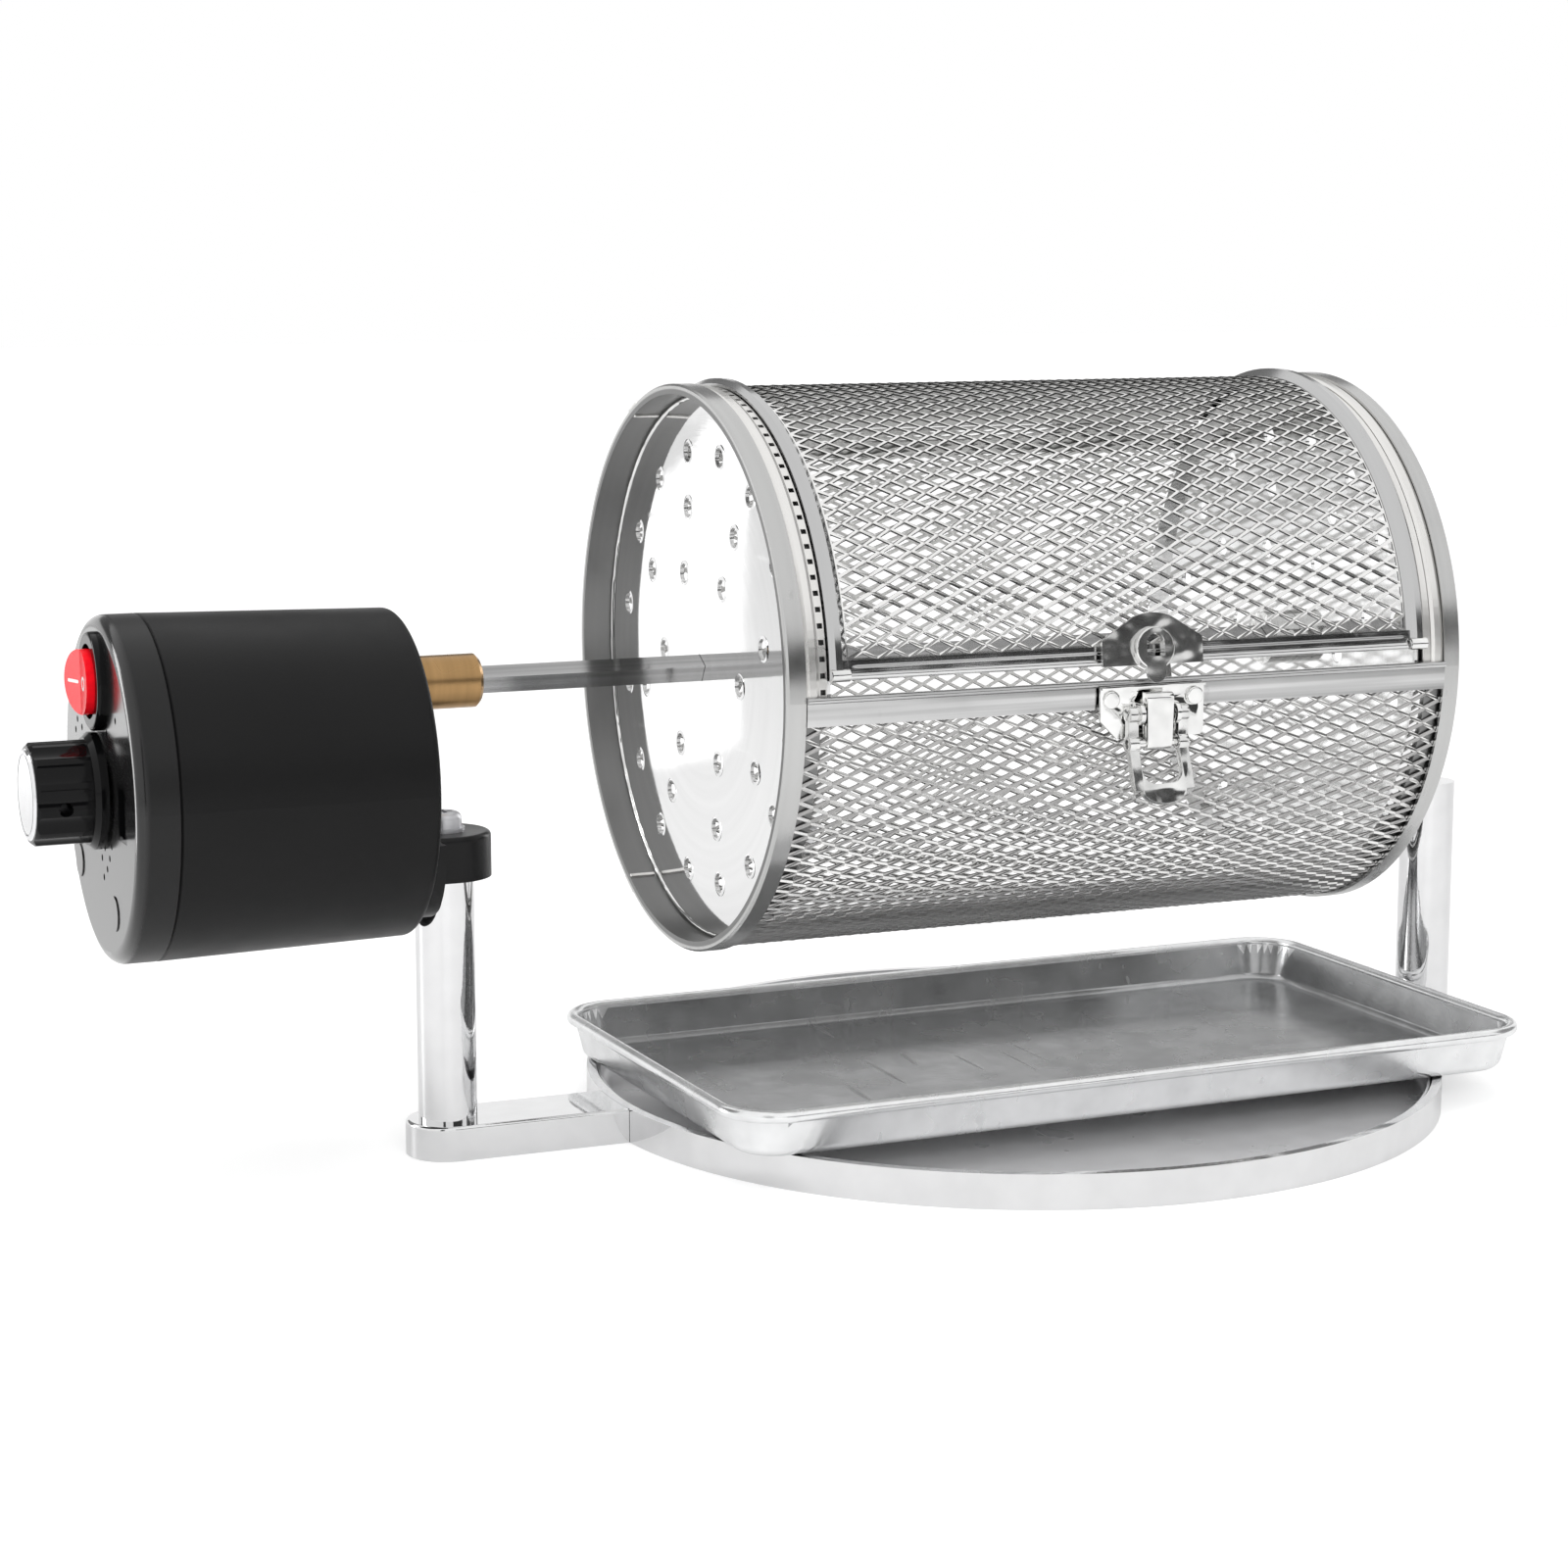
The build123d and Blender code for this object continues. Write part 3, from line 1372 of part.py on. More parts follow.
makers = {
    "base_hoop": make_base_hoop,
    "base_plate": make_base_plate,
    "drip_pan": make_drip_pan,
    "left_arm": lambda: make_arm(left_post_x),
    "right_arm": lambda: make_arm(right_post_x),
    "left_post": make_left_post,
    "right_post": make_right_post,
    "post_screws": make_post_screws,
    "shaft_bush": make_shaft_bush,
    "catch_tray": make_catch_tray,
    "left_rim": lambda: make_rim(False),
    "right_rim": lambda: make_rim(True),
    "left_end_disc": lambda: make_end_disc(False),
    "right_end_disc": lambda: make_end_disc(True),
    "drum_hubs": make_drum_hubs,
    "body_mesh": make_body_mesh,
    "opening_strips": make_opening_strips,
    "body_front_rail": make_body_front_rail,
    "body_rear_rail": make_body_rear_rail,
    "body_hinge_leaves": make_body_hinge_leaves,
    "lid_hinge_leaves": make_lid_hinge_leaves,
    "hinge_pins": make_hinge_pins,
    "lid_side_bands": make_lid_side_bands,
    "lid_front_rail": make_lid_front_rail,
    "lid_rear_rail": make_lid_rear_rail,
    "lid_mesh": make_lid_mesh,
    "latch_keeper": make_latch_keeper,
    "latch_base": make_latch_base,
    "latch_rivets": make_latch_rivets,
    "latch_lever": make_latch_lever,
    "latch_claw": make_latch_claw,
    "drum_shaft": make_drum_shaft,
    "shaft_coupling": make_shaft_coupling,
    "coupling_screw": make_coupling_screw,
    "motor_body": make_motor_body,
    "front_cap": make_front_cap,
    "cap_screws": make_cap_screws,
    "cap_plugs": make_cap_plugs,
    "motor_bracket": make_motor_bracket,
    "bracket_bolts": make_bracket_bolts,
    "post_top_screw": make_post_top_screw,
    "post_top_washer": make_post_top_washer,
    "switch_housing": make_switch_housing,
    "switch_rocker": make_switch_rocker,
    "speed_knob": make_speed_knob,
    "knob_face": make_knob_face,
    "pot_shaft": make_pot_shaft,
    "speed_pot": make_speed_pot,
    "speed_board": make_speed_board,
    "power_inlet": make_power_inlet,
    "gear_plate": make_gear_plate,
    "gear_pillars": make_gear_pillars,
    "idler_pin": make_idler_pin,
    "motor_can": make_motor_can,
    "armature": make_armature,
    "pinion": make_pinion,
    "idler_gear": make_idler_gear,
    "output_gear": make_output_gear,
    "output_shaft": make_output_shaft,
}

os.makedirs("parts", exist_ok=True)
for name, maker in makers.items():
    export_step(maker(), f"parts/{name}.step")
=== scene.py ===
"""Looks of an electric drum roaster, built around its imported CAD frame.

Lengths are metres in the frame's own axes: X runs along the drum away from the motor,
Y points away from the viewer and Z is up. Angles around the drum start at the front and go up.
"""

import logging
import math
from collections import Counter
from contextlib import contextmanager
from dataclasses import dataclass, field
from enum import Enum, IntEnum
from typing import Iterable, Iterator, Mapping, Protocol, Sequence

import bpy
from mathutils import Matrix, Vector


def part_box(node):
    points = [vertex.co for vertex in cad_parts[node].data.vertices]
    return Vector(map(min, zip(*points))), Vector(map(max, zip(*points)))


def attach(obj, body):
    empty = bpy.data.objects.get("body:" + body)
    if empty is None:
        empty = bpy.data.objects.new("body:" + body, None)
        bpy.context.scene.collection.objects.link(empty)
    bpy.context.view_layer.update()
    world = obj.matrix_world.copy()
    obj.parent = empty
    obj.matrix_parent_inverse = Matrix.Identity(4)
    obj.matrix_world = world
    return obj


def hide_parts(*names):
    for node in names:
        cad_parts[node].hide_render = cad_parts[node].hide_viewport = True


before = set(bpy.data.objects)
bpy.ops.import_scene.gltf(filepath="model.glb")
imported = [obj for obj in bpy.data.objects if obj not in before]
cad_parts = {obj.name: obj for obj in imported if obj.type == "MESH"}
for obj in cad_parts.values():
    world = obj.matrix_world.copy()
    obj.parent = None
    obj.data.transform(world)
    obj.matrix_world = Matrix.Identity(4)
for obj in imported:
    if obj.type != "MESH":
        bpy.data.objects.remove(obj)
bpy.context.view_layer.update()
LOG = logging.getLogger("drum_roaster")

Colour = tuple[float, float, float]
Point = tuple[float, float, float]
Object = bpy.types.Object
Node = bpy.types.Node
Socket = bpy.types.NodeSocket
Ports = Mapping[str, Socket]
Sources = dict[str, Node]

MM = 0.001
WHITE = (1.0, 1.0, 1.0, 1.0)
# Two places nearer than this count as one
NEAR = 1e-6
# Faces that meet at less than this many degrees count as one
FLAT_ANGLE = 1.0
# Width of an inset that only turns a wall inwards
SLIVER = 0.02 * MM
# A face looks along an axis when its normal has more than this along it
FACING = 0.9
# How strongly large faces keep their own normal
FACE_WEIGHT = 90
# Heights of the surface detail
LINE_HEIGHT = 0.2 * MM
GRAIN_HEIGHT = 0.3 * MM
SWELL_HEIGHT = 1.0 * MM


class Body(Enum):
    """Moving bodies of the roaster that a modelled piece rides on."""

    DRUM = "drum"
    LID = "lid"
    LEVER = "lever"
    CLAW = "claw"
    ROCKER = "rocker"
    TRAY = "tray"


class Lay(Enum):
    """Run of a metal's polishing lines, as the stretch of their noise along each axis."""

    ALONG_X = (40.0, 2600.0, 2600.0)
    AROUND_DRUM = (2600.0, 40.0, 2600.0)
    AROUND_MOTOR = (3200.0, 40.0, 3200.0)
    CLOUDED = (900.0, 900.0, 900.0)


class Kind(Enum):
    """Kinds of a node group's sockets."""

    VALUE = "NodeSocketFloat"
    VECTOR = "NodeSocketVector"


class MeshFace(IntEnum):
    """Sorts of faces of a mesh skin, by the number of their material."""

    FALLING = 0
    INNER = 1
    EDGE = 2
    RISING = 3


class Piece(Protocol):
    """Something that models and places itself."""

    def build(self) -> None:
        """Model the piece."""


# Node wiring


class Bench:
    """A node tree that is wired from empty."""

    def __init__(self, tree: bpy.types.NodeTree) -> None:
        """Keep the tree and clear its nodes."""
        self.tree = tree
        tree.nodes.clear()

    def add(self, kind: str, inputs: dict | None = None, **settings: object) -> Node:
        """Add one shader node.

        Args:
            kind: Node type without its ShaderNode prefix.
            inputs: What its input sockets take, by socket name or number.
            **settings: Values of the node's own settings.

        Returns:
            The new node.
        """
        node = self.tree.nodes.new("ShaderNode" + kind)
        for name, value in settings.items():
            setattr(node, name, value)
        for socket, source in (inputs or {}).items():
            self.feed(node, socket, source)
        return node

    def feed(self, node: Node, socket: str | int, source: object) -> None:
        """Set or link an input socket.

        Args:
            node: Node with the socket.
            socket: The socket's name or number.
            source: A value, an output socket, or a node whose first output is meant.
        """
        if isinstance(source, Node):
            source = source.outputs[0]
        if isinstance(source, Socket):
            self.tree.links.new(source, node.inputs[socket])
        else:
            node.inputs[socket].default_value = source

    def math(self, operation: str, *terms: object) -> Node:
        """Add a Math node that takes its terms in order."""
        return self.add("Math", dict(enumerate(terms)), operation=operation)


class SurfaceGroup:
    """A shader node group that is built once and placed in each material that uses it."""

    label = "surface_group"
    takes: tuple[str, ...] = ()
    gives: tuple[str, ...] = ()

    def wire(self, bench: Bench, entry: Ports) -> Sources:
        """Wire the group's inside.

        Args:
            bench: The group's own tree.
            entry: The group's inputs by name.

        Returns:
            The node of each output, by name.
        """
        raise NotImplementedError

    def tree(self) -> bpy.types.NodeTree:
        """Find the group's tree, or build it on its first use.

        Returns:
            The tree.
        """
        found = bpy.data.node_groups.get(self.label)
        if found is not None:
            return found
        tree = bpy.data.node_groups.new(self.label, "ShaderNodeTree")
        for side, names in (("INPUT", self.takes), ("OUTPUT", self.gives)):
            for name in names:
                kind = Kind.VECTOR if name in ("Vector", "Stretch") else Kind.VALUE
                tree.interface.new_socket(name, in_out=side, socket_type=kind.value)
        bench = Bench(tree)
        entry = tree.nodes.new("NodeGroupInput")
        leave = tree.nodes.new("NodeGroupOutput")
        for name, source in self.wire(bench, entry.outputs).items():
            bench.feed(leave, name, source)
        return tree

    def place(self, bench: Bench, **inputs: object) -> Ports:
        """Place the group in a material.

        Args:
            bench: The material's tree.
            **inputs: What the group's inputs take, by name.

        Returns:
            The group's outputs by name.
        """
        return bench.add("Group", inputs, node_tree=self.tree()).outputs


class CloudedPolish(SurfaceGroup):
    """Soft clouds from handling and polishing, as a value between two ends."""

    label = "clouded_polish"
    takes = ("Vector", "Scale", "Low", "High")
    gives = ("Value",)

    def wire(self, bench: Bench, entry: Ports) -> Sources:
        """Wire broad noise into a value between the ends.

        Args:
            bench: The group's own tree.
            entry: The group's inputs by name.

        Returns:
            The node of each output, by name.
        """
        broad = {"Vector": entry["Vector"], "Scale": entry["Scale"], "Detail": 3.0, "Roughness": 0.55}
        noise = bench.add("TexNoise", broad)
        ends = {"From Min": 0.32, "From Max": 0.68, "To Min": entry["Low"], "To Max": entry["High"]}
        return {"Value": bench.add("MapRange", {"Value": noise, **ends})}


class PolishLines(SurfaceGroup):
    """Fine lines left by a polishing belt, long along one axis of a stretched vector."""

    label = "polish_lines"
    takes = ("Vector", "Stretch")
    gives = ("Height", "Tone")

    def wire(self, bench: Bench, entry: Ports) -> Sources:
        """Wire fine and broad stretched noise into a height and a tone.

        Args:
            bench: The group's own tree.
            entry: The group's inputs by name.

        Returns:
            The node of each output, by name.
        """
        both = {0: entry["Vector"], 1: entry["Stretch"]}
        place = bench.add("VectorMath", both, operation="MULTIPLY")
        fine = {"Vector": place, "Scale": 1.0, "Detail": 2.0, "Roughness": 0.7}
        broad = {"Vector": place, "Scale": 0.16, "Detail": 2.0, "Roughness": 0.5}
        return {"Height": bench.add("TexNoise", fine), "Tone": bench.add("TexNoise", broad)}


class WrapAround(SurfaceGroup):
    """Station along an X axis, length around it and distance from it."""

    label = "wrap_around"
    takes = ("Vector", "Height", "Radius")
    gives = ("Vector",)

    def wire(self, bench: Bench, entry: Ports) -> Sources:
        """Wire the polar form of the vector about the axis.

        Args:
            bench: The group's own tree.
            entry: The group's inputs by name.

        Returns:
            The node of each output, by name.
        """
        parts = bench.add("SeparateXYZ", {0: entry["Vector"]}).outputs
        rise = bench.math("SUBTRACT", parts["Z"], entry["Height"])
        turn = bench.math("ARCTAN2", rise, parts["Y"])
        length = bench.math("MULTIPLY", turn, entry["Radius"])
        flat = bench.add("CombineXYZ", {"Y": parts["Y"], "Z": rise})
        reach = bench.add("VectorMath", {0: flat}, operation="LENGTH").outputs["Value"]
        return {"Vector": bench.add("CombineXYZ", {"X": parts["X"], "Y": length, "Z": reach})}


class HairScratches(SurfaceGroup):
    """Sparse short scratches in two crossing directions, as a mask."""

    label = "hair_scratches"
    takes = ("Vector", "Scale", "Amount")
    gives = ("Mask",)
    turns = (0.5, -0.8)
    lean = 0.7
    stretch = (1.0, 0.06, 0.5)

    def wire(self, bench: Bench, entry: Ports) -> Sources:
        """Wire two turned and stretched noises, cut to thin lines, into one mask.

        Args:
            bench: The group's own tree.
            entry: The group's inputs by name.

        Returns:
            The node of each output, by name.
        """
        masks = []
        for turn in self.turns:
            turned = {"Rotation": (turn, turn * self.lean, turn), "Scale": self.stretch}
            place = bench.add("Mapping", {"Vector": entry["Vector"], **turned})
            noise = bench.add("TexNoise", {"Vector": place, "Scale": entry["Scale"], "Detail": 1.0})
            masks.append(bench.add("MapRange", {"Value": noise, "From Min": 0.72, "From Max": 0.8}))
        return {"Mask": bench.math("MULTIPLY", bench.math("MAXIMUM", *masks), entry["Amount"])}


class MouldGrain(SurfaceGroup):
    """Fine pebble of a moulded or powder-coated face, as a height and a tone."""

    label = "mould_grain"
    takes = ("Vector", "Scale")
    gives = ("Height", "Tone")
    cell_share = 0.5

    def wire(self, bench: Bench, entry: Ports) -> Sources:
        """Wire small cells over fine noise.

        Args:
            bench: The group's own tree.
            entry: The group's inputs by name.

        Returns:
            The node of each output, by name.
        """
        size = {"Vector": entry["Vector"], "Scale": entry["Scale"]}
        cells = bench.add("TexVoronoi", size, feature="SMOOTH_F1")
        noise = bench.add("TexNoise", {**size, "Detail": 2.0})
        height = bench.math("MULTIPLY_ADD", cells, self.cell_share, noise)
        return {"Height": height, "Tone": noise}


# Finishes


@dataclass(frozen=True)
class Finish:
    """A surface finish that makes its own node material."""

    slot: str
    name: str
    colour: Colour
    rough: tuple[float, float]
    cloud_scale: float = field(default=45.0, kw_only=True)
    tone_spread: float = field(default=0.05, kw_only=True)

    def wire(self, bench: Bench, shader: Node, place: Socket) -> None:
        """Wire the finish's detail.

        Args:
            bench: The material's tree.
            shader: The Principled shader.
            place: The Object coordinates.
        """
        raise NotImplementedError

    def material(self) -> bpy.types.Material:
        """Find the finish's material, or build it on its first use.

        Returns:
            The material.
        """
        found = bpy.data.materials.get(self.name)
        if found is not None:
            return found
        material = bpy.data.materials.new(self.name)
        material.use_nodes = True
        bench = Bench(material.node_tree)
        shader = bench.add("BsdfPrincipled", {"Base Color": (*self.colour, 1.0)})
        bench.add("OutputMaterial", {"Surface": shader})
        self.wire(bench, shader, bench.add("TexCoord").outputs["Object"])
        return material

    def clouds(self, bench: Bench, place: Socket) -> Socket:
        """Return the roughness of the handling clouds."""
        ends = {"Scale": self.cloud_scale, "Low": self.rough[0], "High": self.rough[1]}
        return CloudedPolish().place(bench, Vector=place, **ends)["Value"]

    def tone(self, bench: Bench, shader: Node, source: Socket) -> None:
        """Take a share off the base colour where a value is low.

        Args:
            bench: The material's tree.
            shader: The Principled shader.
            source: Value that varies over the surface.
        """
        ends = bench.add("MapRange", {"Value": source, "From Min": 0.3, "From Max": 0.7})
        mix = bench.add("Mix", {0: ends}, data_type="RGBA")
        dark, full = [socket for socket in mix.inputs if socket.type == "RGBA"]
        dark.default_value = (*(channel * (1.0 - self.tone_spread) for channel in self.colour), 1.0)
        full.default_value = (*self.colour, 1.0)
        mixed = next(socket for socket in mix.outputs if socket.type == "RGBA")
        bench.feed(shader, "Base Color", mixed)


@dataclass(frozen=True)
class MetalFinish(Finish):
    """Bare or plated metal with its polishing lines, handling clouds and scratches."""

    lay: Lay = Lay.CLOUDED
    line_depth: float = 0.02
    scratch: float = 0.15
    scratch_scale: float = 320.0
    axis_height: float = 116.2 * MM
    axis_radius: float = 70.0 * MM
    warp: float = 0.0
    warp_scale: float = 90.0
    metal: float = 1.0

    def polar(self, bench: Bench, place: Socket) -> Socket:
        """Return the station along the finish's axis, the length around it and the distance off it."""
        axis = {"Height": self.axis_height, "Radius": self.axis_radius}
        return WrapAround().place(bench, Vector=place, **axis)["Vector"]

    def wire(self, bench: Bench, shader: Node, place: Socket) -> None:
        """Wire the lines, clouds and scratches of the metal.

        Args:
            bench: The material's tree.
            shader: The Principled shader.
            place: The Object coordinates.
        """
        around = self.lay in (Lay.AROUND_DRUM, Lay.AROUND_MOTOR)
        run = self.polar(bench, place) if around else place
        lines = PolishLines().place(bench, Vector=run, Stretch=self.lay.value)
        amount = {"Scale": self.scratch_scale, "Amount": self.scratch}
        scratches = HairScratches().place(bench, Vector=place, **amount)
        bump = bench.add("Bump", {"Strength": self.line_depth, "Distance": LINE_HEIGHT})
        bench.feed(bump, "Height", lines["Height"])
        if self.warp:
            swell = bench.add("TexNoise", {"Vector": place, "Scale": self.warp_scale, "Detail": 1.0})
            sheet = {"Strength": self.warp, "Distance": SWELL_HEIGHT, "Height": swell}
            bench.feed(bump, "Normal", bench.add("Bump", sheet))
        bench.feed(shader, "Metallic", self.metal)
        bench.feed(shader, "Roughness", bench.math("ADD", self.clouds(bench, place), scratches["Mask"]))
        bench.feed(shader, "Normal", bump)
        self.tone(bench, shader, lines["Tone"])


@dataclass(frozen=True)
class RimFinish(MetalFinish):
    """Rolled steel that is rougher inside a radius of the drum, where painted shade also darkens it."""

    dull_and_shaded_radius: float = 68.6 * MM
    dull_and_shaded_edge: float = 0.3 * MM
    painted_shade_share: float = 0.4
    dull_rough: float = 0.34

    def wire(self, bench: Bench, shader: Node, place: Socket) -> None:
        """Wire the metal, then roughen its inside and darken it with painted shade.

        Args:
            bench: The material's tree.
            shader: The Principled shader.
            place: The Object coordinates.
        """
        super().wire(bench, shader, place)
        rough = shader.inputs["Roughness"].links[0].from_socket
        colour = shader.inputs["Base Color"].links[0].from_socket
        reach = bench.add("SeparateXYZ", {0: self.polar(bench, place)}).outputs["Z"]
        edge = {"From Min": self.dull_and_shaded_radius, "From Max": self.dull_and_shaded_radius + self.dull_and_shaded_edge}
        outside = bench.add("MapRange", {"Value": reach, **edge})
        ends = {0: outside, "A": self.dull_rough, "B": rough}
        bench.feed(shader, "Roughness", bench.add("Mix", ends, data_type="FLOAT"))
        # Painted shade: inside the radius the base colour is scaled down to a share of itself
        shade = bench.add("MapRange", {"Value": outside, "To Min": self.painted_shade_share, "To Max": 1.0})
        painted_shade_colour = bench.add("VectorMath", {0: colour, "Scale": shade}, operation="SCALE")
        bench.feed(shader, "Base Color", painted_shade_colour)


@dataclass(frozen=True)
class MouldedFinish(Finish):
    """Moulded plastic or powder coat with its pebble and handling clouds."""

    grain_scale: float = 2500.0
    grain_depth: float = 0.05
    gloss: float = 0.5
    index: float = 1.5
    cloud_scale: float = field(default=40.0, kw_only=True)
    tone_spread: float = field(default=0.15, kw_only=True)

    def wire(self, bench: Bench, shader: Node, place: Socket) -> None:
        """Wire the pebble and clouds of the moulding.

        Args:
            bench: The material's tree.
            shader: The Principled shader.
            place: The Object coordinates.
        """
        grain = MouldGrain().place(bench, Vector=place, Scale=self.grain_scale)
        bump = bench.add("Bump", {"Strength": self.grain_depth, "Distance": GRAIN_HEIGHT})
        bench.feed(bump, "Height", grain["Height"])
        bench.feed(shader, "Specular IOR Level", self.gloss)
        bench.feed(shader, "IOR", self.index)
        bench.feed(shader, "Roughness", self.clouds(bench, place))
        bench.feed(shader, "Normal", bump)
        self.tone(bench, shader, grain["Tone"])


@dataclass(frozen=True)
class FacedFinish(MouldedFinish):
    """Satin moulding whose front face and rounded front edge are polished."""

    front: float = -235.4 * MM
    turn_depth: float = 1.2 * MM
    face_rough: float = 0.15
    face_coat: float = 0.55

    def wire(self, bench: Bench, shader: Node, place: Socket) -> None:
        """Wire the moulding, then smooth it at the front.

        Args:
            bench: The material's tree.
            shader: The Principled shader.
            place: The Object coordinates.
        """
        super().wire(bench, shader, place)
        satin = shader.inputs["Roughness"].links[0].from_socket
        along = bench.add("SeparateXYZ", {0: place}).outputs["X"]
        edge = {"From Min": self.front, "From Max": self.front + self.turn_depth}
        behind = bench.add("MapRange", {"Value": along, **edge})
        ends = {0: behind, "A": self.face_rough, "B": satin}
        coat = {"Value": behind, "To Min": self.face_coat, "To Max": 0.0}
        bench.feed(shader, "Roughness", bench.add("Mix", ends, data_type="FLOAT"))
        bench.feed(shader, "Coat Weight", bench.add("MapRange", coat))
        bench.feed(shader, "Coat Roughness", self.face_rough)


CHROME = MetalFinish("chrome", "mirror_chrome", (0.8, 0.8, 0.805), (0.02, 0.05), scratch=0.04)
MIRROR_STEEL = MetalFinish(
    "polished_steel", "mirror_disc_steel", (0.9, 0.9, 0.9), (0.03, 0.07), Lay.AROUND_DRUM, 0.012
)
RIM_STEEL = RimFinish(
    "polished_steel", "rolled_rim_steel", (0.56, 0.56, 0.555), (0.18, 0.28), Lay.AROUND_DRUM, 0.06
)
STRIP_STEEL = MetalFinish(
    "polished_steel", "folded_strip_steel", (0.84, 0.83, 0.81), (0.24, 0.36), Lay.AROUND_DRUM, 0.06
)
BAND_STEEL = MetalFinish(
    "polished_steel", "rolled_band_steel", (0.56, 0.56, 0.56), (0.12, 0.22), Lay.AROUND_DRUM, 0.05
)
# Painted shade: the backing under the holes is near black, standing in for the shade inside the fold
SHADED_BACKING_STEEL = MetalFinish("polished_steel", "shaded_backing", (0.06, 0.06, 0.06), (0.4, 0.5))
MESH_STEEL = MetalFinish("mesh_steel", "bright_mesh_steel", (0.9, 0.895, 0.885), (0.16, 0.26))
# Painted shade: the rising strands of the drum's body get a darker copy of the mesh steel, as if less
# light fell on them
SHADED_CROSS_STEEL = MetalFinish("mesh_steel", "painted_shade_cross_strand_steel", (0.45, 0.445, 0.44), (0.2, 0.3))
# Painted shade: the strands' cut edges get a near-black copy of the steel, and on the drum's body a
# dark grey one
DARK_SHADED_EDGE_STEEL = MetalFinish("mesh_steel", "dark_painted_shade_edge_steel", (0.06, 0.06, 0.058), (0.34, 0.44))
PALE_SHADED_EDGE_STEEL = MetalFinish("mesh_steel", "pale_painted_shade_edge_steel", (0.24, 0.235, 0.23), (0.34, 0.44))
# Painted light: the mesh's inner faces get a bright diffuse white in place of the steel, to look lit
BRIGHTENED_INNER_STEEL = MouldedFinish(
    "mesh_steel", "painted_light_inner_mesh", (0.92, 0.915, 0.9), (0.4, 0.5), 1800.0, 0.02
)
RAIL_STEEL = MetalFinish(
    "rail_steel", "folded_rail_steel", (0.76, 0.76, 0.76), (0.08, 0.18), Lay.ALONG_X, 0.08,
    tone_spread=0.55, warp=0.4,
)
REAR_STEEL = MetalFinish(
    "rail_steel", "dull_rear_rail_steel", (0.9, 0.9, 0.89), (0.3, 0.4), Lay.ALONG_X, 0.08
)
LEVER_STEEL = MetalFinish(
    "rail_steel", "bent_lever_steel", (0.9, 0.9, 0.89), (0.12, 0.2),
    tone_spread=0.3, warp=0.8, warp_scale=140.0,
)
LATCH_STEEL = MetalFinish(
    "rail_steel", "pressed_latch_steel", (0.9, 0.9, 0.89), (0.04, 0.1), Lay.CLOUDED, 0.03,
    tone_spread=0.2, warp=0.6, warp_scale=160.0,
)
FASTENER_STEEL = MetalFinish(
    "fastener_steel", "fastener_steel", (0.46, 0.43, 0.4), (0.1, 0.2), Lay.CLOUDED, 0.05
)
SHAFT_STEEL = MetalFinish(
    "polished_steel", "drawn_shaft_steel", (0.5, 0.5, 0.5), (0.08, 0.16), Lay.ALONG_X, 0.03,
    tone_spread=0.4,
)
TRAY_STEEL = MetalFinish(
    "tray_metal", "tinned_tray_steel", (0.9, 0.905, 0.91), (0.2, 0.3), Lay.CLOUDED, 0.1,
    tone_spread=0.12, metal=0.85,
)
# Painted shade: the tray's inner walls and bottom get this darker copy of the tray steel
SHADED_INSIDE_STEEL = MetalFinish(
    "tray_metal", "painted_shade_tray_inside", (0.5, 0.505, 0.51), (0.2, 0.3), Lay.CLOUDED, 0.1,
    tone_spread=0.16, metal=0.9,
)
PAN_STEEL = MetalFinish("polished_steel", "spun_pan_steel", (0.8, 0.8, 0.81), (0.26, 0.36), metal=0.4)
TURNED_BRASS = MetalFinish(
    "brass", "turned_brass", (0.44, 0.27, 0.12), (0.24, 0.36), Lay.AROUND_MOTOR, 0.16,
    tone_spread=0.2, axis_radius=6.5 * MM,
)
SPUN_SILVER = MetalFinish(
    "silver_face", "spun_silver", (0.86, 0.86, 0.87), (0.12, 0.2), Lay.AROUND_MOTOR, 0.08,
    axis_height=95.2 * MM, axis_radius=10.0 * MM,
)
GEAR_STEEL = MetalFinish("fastener_steel", "gear_steel", (0.6, 0.6, 0.6), (0.25, 0.35))
COPPER = MetalFinish("brass", "wound_copper", (0.62, 0.3, 0.16), (0.3, 0.4), Lay.AROUND_MOTOR, 0.2)
SATIN_BLACK = MouldedFinish(
    "black_plastic", "satin_black_housing", (0.0035, 0.0035, 0.0037), (0.38, 0.48), gloss=0.22
)
FACED_BLACK = FacedFinish(
    "black_gloss", "faced_black_cap", (0.0035, 0.0035, 0.0037), (0.36, 0.44), 900.0, 0.012, gloss=0.36
)
GLOSS_BLACK = MouldedFinish(
    "black_gloss", "gloss_black_moulding", (0.0035, 0.0035, 0.0038), (0.06, 0.12), 900.0, 0.015,
    gloss=0.16,
)
BRACKET_BLACK = MouldedFinish(
    "bracket_paint", "black_cast_bracket", (0.0035, 0.0035, 0.0038), (0.28, 0.38), 1400.0, 0.1,
    gloss=0.25,
)
SIGNAL_RED = MouldedFinish(
    "red_plastic", "signal_red_rocker", (0.95, 0.008, 0.018), (0.16, 0.24), 700.0, 0.01, gloss=0.08
)
NYLON = MouldedFinish("white_plastic", "natural_nylon", (0.75, 0.74, 0.7), (0.35, 0.5))
BOARD_GREEN = MouldedFinish("board", "green_board", (0.03, 0.16, 0.06), (0.3, 0.42))
MARK_WHITE = MouldedFinish(
    "white_plastic", "printed_white", (0.86, 0.86, 0.85), (0.3, 0.4), 1200.0, 0.02
)


# Mesh tools


def node(name: str) -> Object:
    """Return a CAD node's object."""
    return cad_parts[name]


